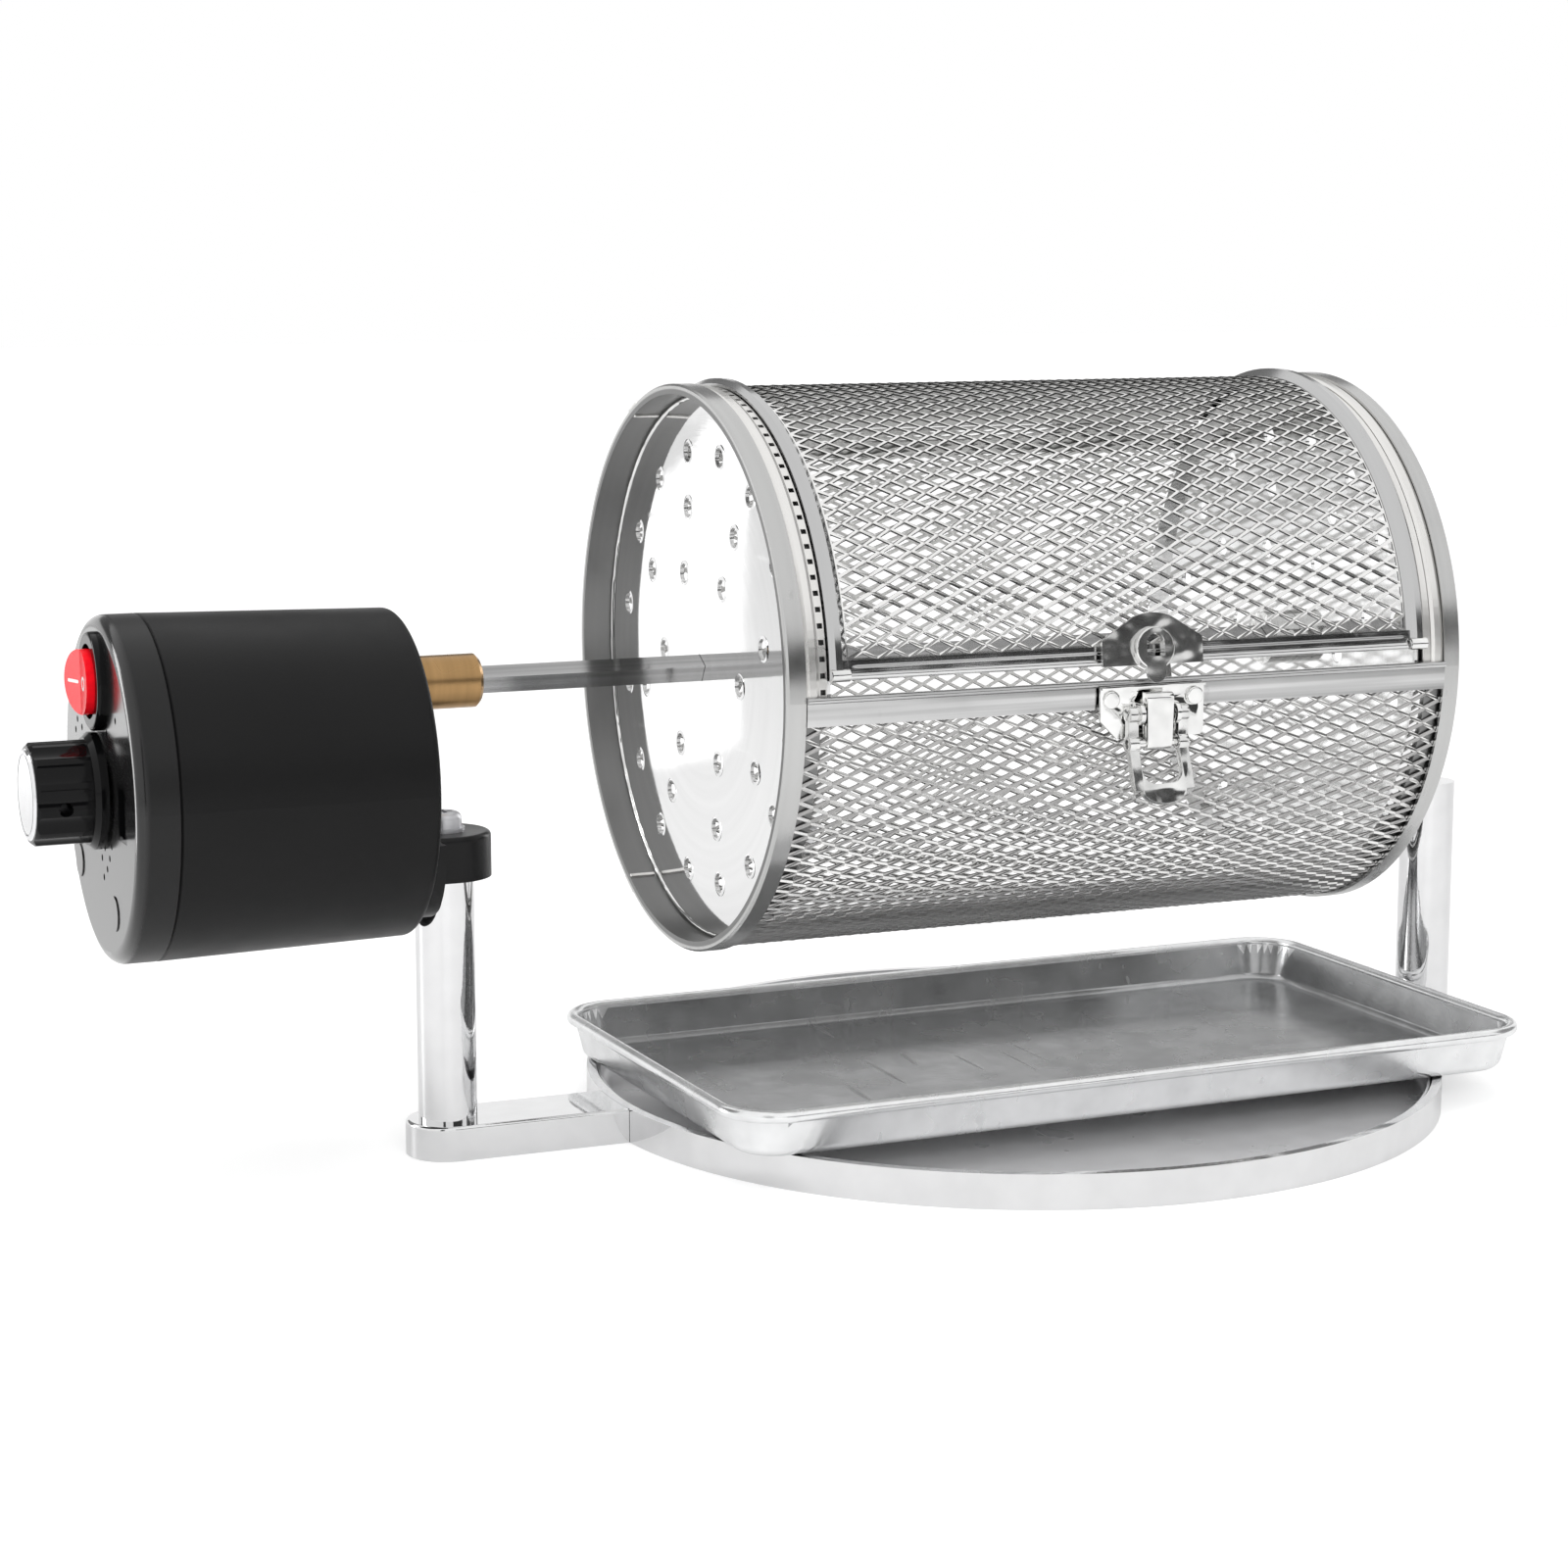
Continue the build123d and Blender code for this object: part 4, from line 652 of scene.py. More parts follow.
def dress(finish: Finish, *names: str) -> None:
    """Give CAD nodes a finish.

    Args:
        finish: The finish.
        *names: Names of the nodes.
    """
    material = finish.material()
    for name in names:
        obj = node(name)
        if not obj.material_slots:
            obj.data.materials.append(material)
        for slot in obj.material_slots:
            slot.material = material


def deselect() -> None:
    """Leave edit mode and deselect every object."""
    if bpy.context.object is not None and bpy.context.object.mode != "OBJECT":
        bpy.ops.object.mode_set(mode="OBJECT")
    bpy.ops.object.select_all(action="DESELECT")


def take(obj: Object) -> None:
    """Select one object alone and make it active.

    Args:
        obj: The object.
    """
    deselect()
    obj.select_set(True)
    bpy.context.view_layer.objects.active = obj


def bake() -> None:
    """Bring the selected object's place, turn and scale into its mesh."""
    bpy.ops.object.transform_apply(location=True, rotation=True, scale=True)


def smooth(angle: float) -> None:
    """Shade the selected object smooth where its faces meet at less than an angle in degrees."""
    bpy.ops.object.shade_smooth_by_angle(angle=math.radians(angle))


@contextmanager
def editing(kind: str = "FACE", action: str = "SELECT") -> Iterator[None]:
    """Edit the active object's mesh, with all of it selected or none of it.

    Args:
        kind: VERT, EDGE or FACE.
        action: SELECT or DESELECT.

    Yields:
        Nothing, in edit mode.
    """
    bpy.ops.object.mode_set(mode="EDIT")
    bpy.ops.mesh.select_mode(type=kind)
    bpy.ops.mesh.select_all(action=action)
    yield
    bpy.ops.object.mode_set(mode="OBJECT")


@contextmanager
def picking(obj: Object, kind: str, chosen: Iterable[int]) -> Iterator[None]:
    """Edit a mesh with some of its elements selected.

    Args:
        obj: The active mesh object.
        kind: VERT, EDGE or FACE.
        chosen: Numbers of the elements.

    Yields:
        Nothing, in edit mode.
    """
    with editing(kind, "DESELECT"):
        pass
    elements = {"VERT": obj.data.vertices, "EDGE": obj.data.edges, "FACE": obj.data.polygons}[kind]
    for number in chosen:
        elements[number].select = True
    bpy.ops.object.mode_set(mode="EDIT")
    yield
    bpy.ops.object.mode_set(mode="OBJECT")


def apply_modifier(obj: Object, kind: str, **settings: object) -> None:
    """Add a modifier with its settings and apply it.

    Args:
        obj: Object that takes the modifier.
        kind: Modifier type.
        **settings: The modifier's settings.
    """
    take(obj)
    modifier = obj.modifiers.new(kind.lower(), kind)
    for name, value in settings.items():
        setattr(modifier, name, value)
    bpy.ops.object.modifier_apply(modifier=modifier.name)


def thicken(obj: Object, thickness: float, inwards: bool = False) -> Object:
    """Give a sheet its thickness, to both sides or only inwards, and return it."""
    apply_modifier(obj, "SOLIDIFY", thickness=thickness, offset=-1.0 if inwards else 0.0)
    return obj


def settle(obj: Object, name: str, finish: Finish, body: Body, *replaced: str) -> None:
    """Name a finished piece, bring its place into its mesh, dress it and let it ride.

    Args:
        obj: The piece.
        name: Its name.
        finish: Its finish.
        body: Body that it rides on.
        *replaced: CAD nodes that it stands for.
    """
    take(obj)
    bake()
    obj.name = name
    obj.data.name = name
    obj.data.materials.clear()
    obj.data.materials.append(finish.material())
    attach(obj, body.value)
    if replaced:
        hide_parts(*replaced)
    LOG.info("%s: %d faces", name, len(obj.data.polygons))


def join_all(pieces: Sequence[Object]) -> Object:
    """Join pieces into the first of them.

    Args:
        pieces: Mesh objects, each with its own mesh.

    Returns:
        The joined object.
    """
    take(pieces[0])
    for piece in pieces[1:]:
        piece.select_set(True)
    bpy.ops.object.join()
    return bpy.context.object


def copy_at(obj: Object, shift: Point) -> Object:
    """Copy an object with its own mesh.

    Args:
        obj: The object.
        shift: Move of the copy.

    Returns:
        The copy.
    """
    take(obj)
    bpy.ops.object.duplicate(linked=False)
    copy = bpy.context.object
    copy.matrix_world = Matrix.Translation(shift) @ obj.matrix_world
    bake()
    return copy


def merged_copy(name: str) -> Object:
    """Copy a CAD node's mesh into an object of its own, with its triangles merged.

    Args:
        name: The node's name.

    Returns:
        The copy, selected.
    """
    deselect()
    original = node(name)
    copy = bpy.data.objects.new(name, original.data.copy())
    bpy.context.scene.collection.objects.link(copy)
    copy.matrix_world = original.matrix_world
    take(copy)
    bake()
    bpy.ops.mesh.customdata_custom_splitnormals_clear()
    with editing():
        bpy.ops.mesh.remove_doubles(threshold=NEAR)
        bpy.ops.mesh.dissolve_limited(angle_limit=math.radians(FLAT_ANGLE))
    return copy


def flat_grid(low: Point, high: Point, across: int, around: int) -> Object:
    """Lay an upright flat grid between two corners, facing the front.

    Args:
        low: Lower left corner.
        high: Upper right corner, at the same depth.
        across: Number of cells along.
        around: Number of cells up.

    Returns:
        The grid.
    """
    deselect()
    bpy.ops.mesh.primitive_grid_add(
        x_subdivisions=across,
        y_subdivisions=around,
        size=1.0,
        location=[(a + b) / 2 for a, b in zip(low, high)],
        rotation=(math.radians(90), 0.0, 0.0),
    )
    grid = bpy.context.object
    grid.scale = (high[0] - low[0], high[2] - low[2], 1.0)
    bake()
    return grid


def pressed_ring(
    sides: int, radius: float, steps: Sequence[tuple[float, float]], **place: Point
) -> Object:
    """Press a ring out of a flat disc.

    Args:
        sides: Number of its sides.
        radius: Its outer radius.
        steps: Width and rise of each step, from the outside in.
        **place: Location and rotation of a disc that isn't flat at the origin.

    Returns:
        The ring, open in the middle.
    """
    deselect()
    bpy.ops.mesh.primitive_circle_add(vertices=sides, radius=radius, fill_type="NGON", **place)
    ring = bpy.context.object
    with editing():
        for width, rise in steps:
            bpy.ops.mesh.inset(thickness=width, depth=rise)
        bpy.ops.mesh.delete(type="FACE")
    bake()
    return ring


# Drum


@dataclass(frozen=True)
class DrumSize:
    """Main sizes of the drum."""

    axis_height: float = 116.2 * MM
    middle_radius: float = 68.75 * MM
    outer_radius: float = 70.0 * MM
    collar_radius: float = 67.5 * MM
    left_end: float = -93.75 * MM
    right_end: float = 88.45 * MM

    def station(self, inset: float, right: bool) -> float:
        """Return the place along X at a distance inside the left or right end."""
        return self.right_end - inset if right else self.left_end + inset

    def around(self, angle: float) -> float:
        """Return the length around the middle radius for an angle in degrees."""
        return math.radians(angle) * self.middle_radius

    def outward(self, right: bool) -> Point:
        """Return the turn that faces a flat disc out of the left or right end."""
        return (0.0, math.radians(90 if right else -90), 0.0)

    def wrap(self, obj: Object) -> None:
        """Bend a flat piece, whose height is length around the drum, onto the drum.

        Args:
            obj: The flat piece, with the drum's outside towards its front.
        """
        heights = [vertex.co.z for vertex in obj.data.vertices]
        apply_modifier(
            obj,
            "SIMPLE_DEFORM",
            deform_method="BEND",
            deform_axis="X",
            angle=(max(heights) - min(heights)) / self.middle_radius,
        )
        obj.location = (0.0, -self.middle_radius, self.axis_height)
        take(obj)
        bake()


DRUM = DrumSize()


@dataclass(frozen=True)
class MeshSkin:
    """Expanded metal: diamonds with tilted strands, bent to the drum."""

    name: str
    body: Body
    stands_for: str
    low_angle: float
    high_angle: float
    end_inset: float = 0.0
    cell_length: float = 7.8 * MM
    cell_height: float = 3.85 * MM
    strand: float = 0.85 * MM
    tilt: float = 0.34 * MM
    sheet: float = 0.42 * MM
    edge_limit: float = 0.3
    grid_limit: float = 0.02
    # Finish of the rising strands; where it is a darker copy of the steel, that is painted shade
    cross: Finish = MESH_STEEL
    # Painted shade: the finish of the strands' cut edges is a darkened copy of the steel
    edge: Finish = DARK_SHADED_EDGE_STEEL
    in_its_place: bool = True

    def build(self) -> None:
        """Model the mesh flat, bend it and put it in the node's place."""
        low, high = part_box(self.stands_for)
        first = low.x + self.end_inset
        length = high.x - low.x - 2 * self.end_inset
        start = DRUM.around(self.low_angle)
        end = DRUM.around(self.high_angle)
        across = max(1, round(length / self.cell_length))
        around = max(1, round((end - start) / self.cell_height))
        step = Vector((length / across / 2, 0.0, (end - start) / around / 2))
        skin = flat_grid((first, 0.0, start), (first + length, 0.0, end), across, around)
        self.cut_diamonds(skin)
        self.tilt_strands(skin, Vector((first, 0.0, start)), step)
        DRUM.wrap(thicken(skin, self.sheet))
        replaced = (self.stands_for,) if self.in_its_place else ()
        settle(skin, self.name, MESH_STEEL, self.body, *replaced)
        self.sort_faces(skin)

    def sort_faces(self, skin: Object) -> None:
        """Give the inner faces painted light, and the cut edges and the rising strands painted shade,
        each in a finish of its own.

        Args:
            skin: The finished skin, in the finish of its falling strands.
        """
        for finish in (BRIGHTENED_INNER_STEEL, self.edge, self.cross):
            skin.data.materials.append(finish.material())
        places = [vertex.co for vertex in skin.data.vertices]
        for face in skin.data.polygons:
            out = Vector((0.0, face.center.y, face.center.z - DRUM.axis_height)).normalized()
            looks = face.normal.dot(out)
            if looks < -self.edge_limit:
                face.material_index = MeshFace.INNER
            elif looks < self.edge_limit:
                face.material_index = MeshFace.EDGE
            else:
                sides = [places[a] - places[b] for a, b in face.edge_keys]
                strand = max(sides, key=lambda side: side.length)
                up = out.cross(Vector((1.0, 0.0, 0.0)))
                rising = strand.x * strand.dot(up) > 0.0
                face.material_index = MeshFace.RISING if rising else MeshFace.FALLING

    def cut_diamonds(self, skin: Object) -> None:
        """Turn a square grid into a net of diamonds.

        Args:
            skin: The flat grid.
        """
        take(skin)
        with editing():
            bpy.ops.mesh.poke()
        places = [vertex.co for vertex in skin.data.vertices]
        shared = Counter(key for face in skin.data.polygons for key in face.edge_keys)
        square = []
        for edge in skin.data.edges:
            run = places[edge.vertices[0]] - places[edge.vertices[1]]
            if min(abs(run.x), abs(run.z)) < NEAR and shared[edge.key] == 2:
                square.append(edge.index)
        with picking(skin, "EDGE", square):
            bpy.ops.mesh.dissolve_edges(use_verts=False)
        with editing():
            bpy.ops.mesh.inset(
                thickness=self.strand / 2, use_boundary=True, use_individual=True, use_even_offset=True
            )
            bpy.ops.mesh.delete(type="FACE")

    def tilt_strands(self, skin: Object, corner: Vector, step: Vector) -> None:
        """Push the strands' lower edges out and their upper edges in.

        Args:
            skin: The flat net.
            corner: The net's lower left corner.
            step: Half a cell along and around.
        """
        raised = []
        sunk = []
        for vertex in skin.data.vertices:
            along = (vertex.co.x - corner.x) / step.x
            around = (vertex.co.z - corner.z) / step.z
            if abs(along - round(along)) > self.grid_limit:
                continue
            offset = around - round(around)
            if offset > self.grid_limit:
                raised.append(vertex.index)
            elif offset < -self.grid_limit:
                sunk.append(vertex.index)
        for chosen, shift in ((raised, self.tilt), (sunk, -self.tilt)):
            with picking(skin, "VERT", chosen):
                bpy.ops.transform.translate(value=(0.0, shift, 0.0))


@dataclass(frozen=True)
class OpeningStrip:
    """Folded edge of the drum's opening, with a row of small holes at the left end."""

    low_angle: float = 1.1
    high_angle: float = 131.3
    hidden_start: float = 1.3 * MM
    fold_start: float = 4.85 * MM
    fold_end: float = 8.2 * MM
    strip_end: float = 10.2 * MM
    fold_cells: int = 4
    fold_rise: float = 1.0 * MM
    fold_round: float = 0.45 * MM
    ledge_rise: float = 0.1 * MM
    hole_pitch: float = 3.85 * MM
    hole_margin: float = 0.33 * MM
    sheet: float = 0.6 * MM
    backing_depth: float = 0.7 * MM

    def build(self) -> None:
        """Model both ends' strips flat and bend them onto the drum."""
        pieces = []
        for right in (False, True):
            pieces += [self.plain(right), self.fold(right), self.holed(right)]
        strips = join_all(pieces)
        DRUM.wrap(strips)
        settle(strips, "opening_strip_skins", STRIP_STEEL, Body.DRUM, "opening_strips")
        backing = join_all([self.backing(right) for right in (False, True)])
        DRUM.wrap(backing)
        settle(backing, "opening_strip_backing", SHADED_BACKING_STEEL, Body.DRUM)

    def lay(
        self, first: float, last: float, right: bool, cells: int = 1, rise: float = 0.0
    ) -> Object:
        """Lay a flat strip between two insets from the drum's end.

        Args:
            first: Nearer inset.
            last: Farther inset.
            right: Whether it is the right end.
            cells: Number of cells across.
            rise: Height over the mesh's middle.

        Returns:
            The strip, with two cells up for each hole.
        """
        ends = sorted((DRUM.station(first, right), DRUM.station(last, right)))
        start = DRUM.around(self.low_angle)
        end = DRUM.around(self.high_angle)
        holes = round((end - start) / self.hole_pitch)
        return flat_grid((ends[0], -rise, start), (ends[1], -rise, end), cells, 2 * holes)

    def plain(self, right: bool) -> Object:
        """Return the part that lies under the rim."""
        return thicken(self.lay(self.hidden_start, self.fold_start, right), self.sheet)

    def backing(self, right: bool) -> Object:
        """Return the second layer, painted near black as the shade seen through the holes."""
        strip = self.lay(self.fold_start, self.strip_end, right, rise=-self.backing_depth)
        return thicken(strip, self.sheet / 2)

    def fold(self, right: bool) -> Object:
        """Model the raised fold, with its edges rounded down.

        Args:
            right: Whether it is the right end.

        Returns:
            The fold.
        """
        strip = self.lay(self.fold_start, self.fold_end, right, self.fold_cells, self.fold_rise)
        places = [vertex.co.x for vertex in strip.data.vertices]
        ends = (min(places), max(places))
        edge = [i for i, x in enumerate(places) if min(abs(x - end) for end in ends) < NEAR]
        with picking(strip, "VERT", edge):
            bpy.ops.transform.translate(value=(0.0, self.fold_round, 0.0))
        return thicken(strip, 2 * self.sheet, inwards=True)

    def holed(self, right: bool) -> Object:
        """Model the ledge, with its row of holes at the left end.

        Args:
            right: Whether it is the right end.

        Returns:
            The ledge.
        """
        strip = self.lay(self.fold_end, self.strip_end, right, rise=self.ledge_rise)
        if not right:
            with picking(strip, "FACE", range(0, len(strip.data.polygons), 2)):
                bpy.ops.mesh.inset(thickness=self.hole_margin, use_individual=True)
                bpy.ops.mesh.delete(type="FACE")
        return thicken(strip, self.sheet)


@dataclass(frozen=True)
class RimSeams:
    """Overlapped seams of the rolled rims, with a raised edge across each overlap."""

    angles: tuple[float, ...] = (115.5, 239.5)
    end_gap: float = 0.2 * MM
    bar_size: Point = (6.6 * MM, 1.0 * MM, 1.1 * MM)
    lap_size: Point = (4.3 * MM, 0.7 * MM, 6.5 * MM)
    edge: float = 0.2 * MM
    cuts: int = 2
    smooth_angle: float = 40.0

    def build(self) -> None:
        """Model the bars inside and the laps outside both rims."""
        pieces = []
        for right in (False, True):
            for angle in self.angles:
                pieces.append(self.bar(self.bar_size, right, angle, DRUM.collar_radius))
                pieces.append(self.bar(self.lap_size, right, angle, DRUM.outer_radius))
        settle(join_all(pieces), "rim_seams", STRIP_STEEL, Body.DRUM)

    def bar(self, size: Point, right: bool, angle: float, radius: float) -> Object:
        """Model one rounded bar and bend it onto the drum.

        Args:
            size: Its length along, thickness and width around.
            right: Whether it is at the right end.
            angle: Its angle around the drum.
            radius: Radius of its middle.

        Returns:
            The bar.
        """
        deselect()
        x = DRUM.station(size[0] / 2 + self.end_gap, right)
        place = (x, DRUM.middle_radius - radius, DRUM.around(angle))
        bpy.ops.mesh.primitive_cube_add(size=1.0, location=place)
        bar = bpy.context.object
        bar.scale = size
        bake()
        with editing():
            bpy.ops.mesh.subdivide(number_cuts=self.cuts)
        apply_modifier(bar, "BEVEL", width=self.edge, segments=2, limit_method="ANGLE")
        DRUM.wrap(bar)
        smooth(self.smooth_angle)
        return bar


@dataclass(frozen=True)
class HoleLips:
    """Raised pressed lips around the end discs' air holes."""

    counts: tuple[int, ...] = (16, 8, 6)
    radii: tuple[float, ...] = (53.6 * MM, 40.0 * MM, 25.0 * MM)
    turns: tuple[float, ...] = (11.8, 32.0, 4.0)
    recess: float = 7.8 * MM
    dome: float = 1.4 * MM
    rim: float = 67.45 * MM
    hole_radius: float = 2.5 * MM
    foot: float = 0.55 * MM
    rise: float = 0.2 * MM
    crown: float = 0.2 * MM
    depth: float = 0.9 * MM
    sides: int = 24
    smooth_angle: float = 50.0

    def build(self) -> None:
        """Model one lip and set copies of it around the holes of both discs."""
        radius = self.hole_radius + self.foot + self.crown
        steps = ((self.foot, self.rise), (self.crown, 0.0), (SLIVER, -self.depth))
        for right, name in ((False, "left_hole_lips"), (True, "right_hole_lips")):
            pattern = pressed_ring(self.sides, radius, steps, rotation=DRUM.outward(right))
            copies = []
            for count, reach, turn in zip(self.counts, self.radii, self.turns):
                for step in range(count):
                    angle = math.radians(turn + 360.0 * step / count)
                    copies.append(copy_at(pattern, self.place(reach, angle, right)))
            take(pattern)
            bpy.ops.object.delete()
            lips = join_all(copies)
            smooth(self.smooth_angle)
            settle(lips, name, MIRROR_STEEL, Body.DRUM)

    def place(self, reach: float, angle: float, right: bool) -> Point:
        """Find a hole's centre on the domed disc.

        Args:
            reach: Its distance from the drum's axis.
            angle: Its angle from the back upwards.
            right: Whether it is the right disc.

        Returns:
            The place.
        """
        ball = (self.rim**2 + self.dome**2) / (2 * self.dome)
        swell = math.sqrt(ball**2 - reach**2) - (ball - self.dome)
        x = DRUM.station(self.recess - swell, right)
        return (x, reach * math.cos(angle), DRUM.axis_height + reach * math.sin(angle))


@dataclass(frozen=True)
class DiscBeads:
    """Bright pressed bead around each end disc, where it meets the rim."""

    radius: float = 67.4 * MM
    recess: float = 7.75 * MM
    slope: float = 0.35 * MM
    rise: float = 0.5 * MM
    sides: int = 160
    smooth_angle: float = 60.0

    def build(self) -> None:
        """Model both beads, facing out of the drum's ends."""
        steps = [(self.slope, rise) for rise in (self.rise, 0.0, -self.rise)]
        rings = []
        for right in (False, True):
            centre = (DRUM.station(self.recess, right), 0.0, DRUM.axis_height)
            turn = DRUM.outward(right)
            rings.append(pressed_ring(self.sides, self.radius, steps, location=centre, rotation=turn))
        beads = join_all(rings)
        smooth(self.smooth_angle)
        settle(beads, "disc_beads", LATCH_STEEL, Body.DRUM)


@dataclass(frozen=True)
class RailFold:
    """Hand-folded edge along the lid's front rail, a little wavy."""

    angle: float = 6.5
    inset: float = 16.2 * MM
    radius: float = 70.35 * MM
    height: float = 0.9 * MM
    depth: float = 0.5 * MM
    sheet: float = 0.3 * MM
    steps: int = 60
    wave: float = 0.16 * MM
    seed: int = 7
    calm: float = 0.5
    calm_rounds: int = 2

    def build(self) -> None:
        """Model the fold as a waved bar on the rail."""
        front = DRUM.middle_radius - self.radius
        middle = DRUM.around(self.angle)
        bottom = (DRUM.station(self.inset, False), front, middle - self.height / 2)
        top = (DRUM.station(self.inset, True), front, middle + self.height / 2)
        bar = flat_grid(bottom, top, across=self.steps, around=2)
        crest = [v.index for v in bar.data.vertices if abs(v.co.z - middle) < NEAR]
        with picking(bar, "VERT", crest):
            bpy.ops.transform.translate(value=(0.0, -self.depth, 0.0))
            bpy.ops.transform.vertex_random(offset=self.wave, seed=self.seed)
            bpy.ops.mesh.vertices_smooth(factor=self.calm, repeat=self.calm_rounds, xaxis=False)
        apply_modifier(bar, "SUBSURF", levels=1, render_levels=1)
        DRUM.wrap(thicken(bar, self.sheet, inwards=True))
        bpy.ops.object.shade_smooth()
        settle(bar, "lid_rail_fold", RAIL_STEEL, Body.LID)


@dataclass(frozen=True)
class LidCurls:
    """Small rolled ends at the foot of the lid's two side bands."""

    angle: float = 5.0
    inset: float = 12.95 * MM
    width: float = 4.5 * MM
    radius: float = 1.5 * MM
    reach: float = 70.4 * MM
    wall: float = 0.45 * MM
    depth: float = 1.2 * MM
    sides: int = 24
    smooth_angle: float = 40.0

    def build(self) -> None:
        """Model both rolls."""
        curls = join_all([self.roll(right) for right in (False, True)])
        smooth(self.smooth_angle)
        settle(curls, "lid_band_curls", LATCH_STEEL, Body.LID)

    def roll(self, right: bool) -> Object:
        """Model one roll, hollow at both ends.

        Args:
            right: Whether it is at the right end.

        Returns:
            The roll.
        """
        deselect()
        turn = math.radians(self.angle)
        y = -self.reach * math.cos(turn)
        z = DRUM.axis_height + self.reach * math.sin(turn)
        bpy.ops.mesh.primitive_cylinder_add(
            vertices=self.sides,
            radius=self.radius,
            depth=self.width,
            location=(DRUM.station(self.inset, right), y, z),
            rotation=DRUM.outward(True),
        )
        roll = bpy.context.object
        bake()
        caps = [face.index for face in roll.data.polygons if abs(face.normal.x) > FACING]
        with picking(roll, "FACE", caps):
            bpy.ops.mesh.inset(thickness=self.wall, use_individual=True)
            bpy.ops.mesh.inset(thickness=SLIVER, depth=-self.depth, use_individual=True)
        return roll


@dataclass(frozen=True)
class Drum:
    """The drum with its lid: mesh skins, rims, end discs, rails and hinges."""

    pieces: tuple[Piece, ...] = (
        MeshSkin(
            "drum_mesh_skin", Body.DRUM, "body_mesh", low_angle=-228.5, high_angle=0.9,
            cross=SHADED_CROSS_STEEL, edge=PALE_SHADED_EDGE_STEEL,
        ),
        MeshSkin(
            "hinge_gap_mesh", Body.DRUM, "body_mesh", low_angle=126.6, high_angle=132.4,
            end_inset=10.6 * MM, cell_height=3.4 * MM, edge=PALE_SHADED_EDGE_STEEL, in_its_place=False,
        ),
        MeshSkin("lid_mesh_skin", Body.LID, "lid_mesh", low_angle=7.75, high_angle=120.5),
        OpeningStrip(),
        RimSeams(),
        HoleLips(),
        DiscBeads(),
        RailFold(),
        LidCurls(),
    )

    def build(self) -> None:
        """Build the skins and pressed details, and dress the drum's metal."""
        for piece in self.pieces:
            piece.build()
        dress(MIRROR_STEEL, "left_end_disc", "right_end_disc")
        dress(RIM_STEEL, "left_rim", "right_rim")
        dress(BAND_STEEL, "lid_side_bands")
        dress(RAIL_STEEL, "body_front_rail", "lid_front_rail")
        dress(REAR_STEEL, "body_rear_rail", "lid_rear_rail", "body_hinge_leaves", "lid_hinge_leaves")
        dress(LATCH_STEEL, "drum_hubs")
        dress(FASTENER_STEEL, "hinge_pins")


@dataclass(frozen=True)
class Pressing:
    """A CAD pressing whose cut edges are rounded over."""

    source: str
    body: Body
    finish: Finish
    edge: float = 0.28 * MM
    edge_angle: float = 40.0
    smooth_angle: float = 35.0
    flat: bool = False

    def build(self) -> None:
        """Round the edges of a copy of the node's mesh."""
        copy = merged_copy(self.source)
        limit = math.radians(self.edge_angle)
        apply_modifier(
            copy, "BEVEL", width=self.edge, segments=2, limit_method="ANGLE", angle_limit=limit
        )
        smooth(self.smooth_angle)
        if self.flat:
            apply_modifier(copy, "WEIGHTED_NORMAL", weight=FACE_WEIGHT)
        settle(copy, self.source + "_pressing", self.finish, self.body, self.source)


@dataclass(frozen=True)
class Latch:
    """The draw latch at the lid's front edge."""

    pressings: tuple[Pressing, ...] = (
        Pressing("latch_base", Body.DRUM, LATCH_STEEL),
        Pressing("latch_keeper", Body.LID, LEVER_STEEL, flat=True),
        Pressing("latch_claw", Body.CLAW, LATCH_STEEL),
        Pressing("latch_lever", Body.LEVER, LEVER_STEEL),
        Pressing("latch_rivets", Body.DRUM, LATCH_STEEL, edge=0.1 * MM),
    )

    def build(self) -> None:
        """Round the latch's pressings and its rivets."""
        for pressing in self.pressings:
            pressing.build()


@dataclass(frozen=True)
class Stand:
    """The hoop base with its pan, arms, posts and screws."""

    def build(self) -> None:
        """Dress the stand's chrome and fasteners."""
        dress(CHROME, "base_hoop", "left_arm", "right_arm", "left_post", "right_post")
        dress(PAN_STEEL, "base_plate", "drip_pan")
        dress(FASTENER_STEEL, "post_screws", "post_top_screw", "post_top_washer", "bracket_bolts")
        dress(NYLON, "shaft_bush")


@dataclass(frozen=True)
class CatchTray:
    """The shallow catch tray on the hoop, darker inside its rolled rim with painted shade."""

    rim_height: float = 3.0 * MM
    smooth_angle: float = 35.0

    def build(self) -> None:
        """Give the inside of a copy of the tray a darker finish, as painted shade."""
        low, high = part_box("catch_tray")
        middle = (low + high) / 2
        tray = merged_copy("catch_tray")
        smooth(self.smooth_angle)
        apply_modifier(tray, "WEIGHTED_NORMAL", weight=FACE_WEIGHT)
        settle(tray, "catch_tray_skin", TRAY_STEEL, Body.TRAY, "catch_tray")
        tray.data.materials.append(SHADED_INSIDE_STEEL.material())
        for face in tray.data.polygons:
            inward = middle - face.center
            inward.z = 0.0
            wall = face.normal.dot(inward) > 0.0 and abs(face.normal.z) < FACING
            bottom = face.normal.z > FACING
            below_rim = face.center.z < high.z - self.rim_height
            # Painted shade: inner walls and bottom below the rim take the darker finish
            face.material_index = int(below_rim and (wall or bottom))


@dataclass(frozen=True)
class DriveLine:
    """The square shaft, its brass coupling and the gear motor inside the housing."""

    def build(self) -> None:
        """Dress the shaft, coupling and gears."""
        dress(SHAFT_STEEL, "drum_shaft", "output_shaft")
        dress(TURNED_BRASS, "shaft_coupling")
        dress(FASTENER_STEEL, "coupling_screw", "idler_pin", "gear_pillars", "gear_plate")
        dress(GEAR_STEEL, "output_gear", "idler_gear", "pinion", "motor_can")
        dress(COPPER, "armature")


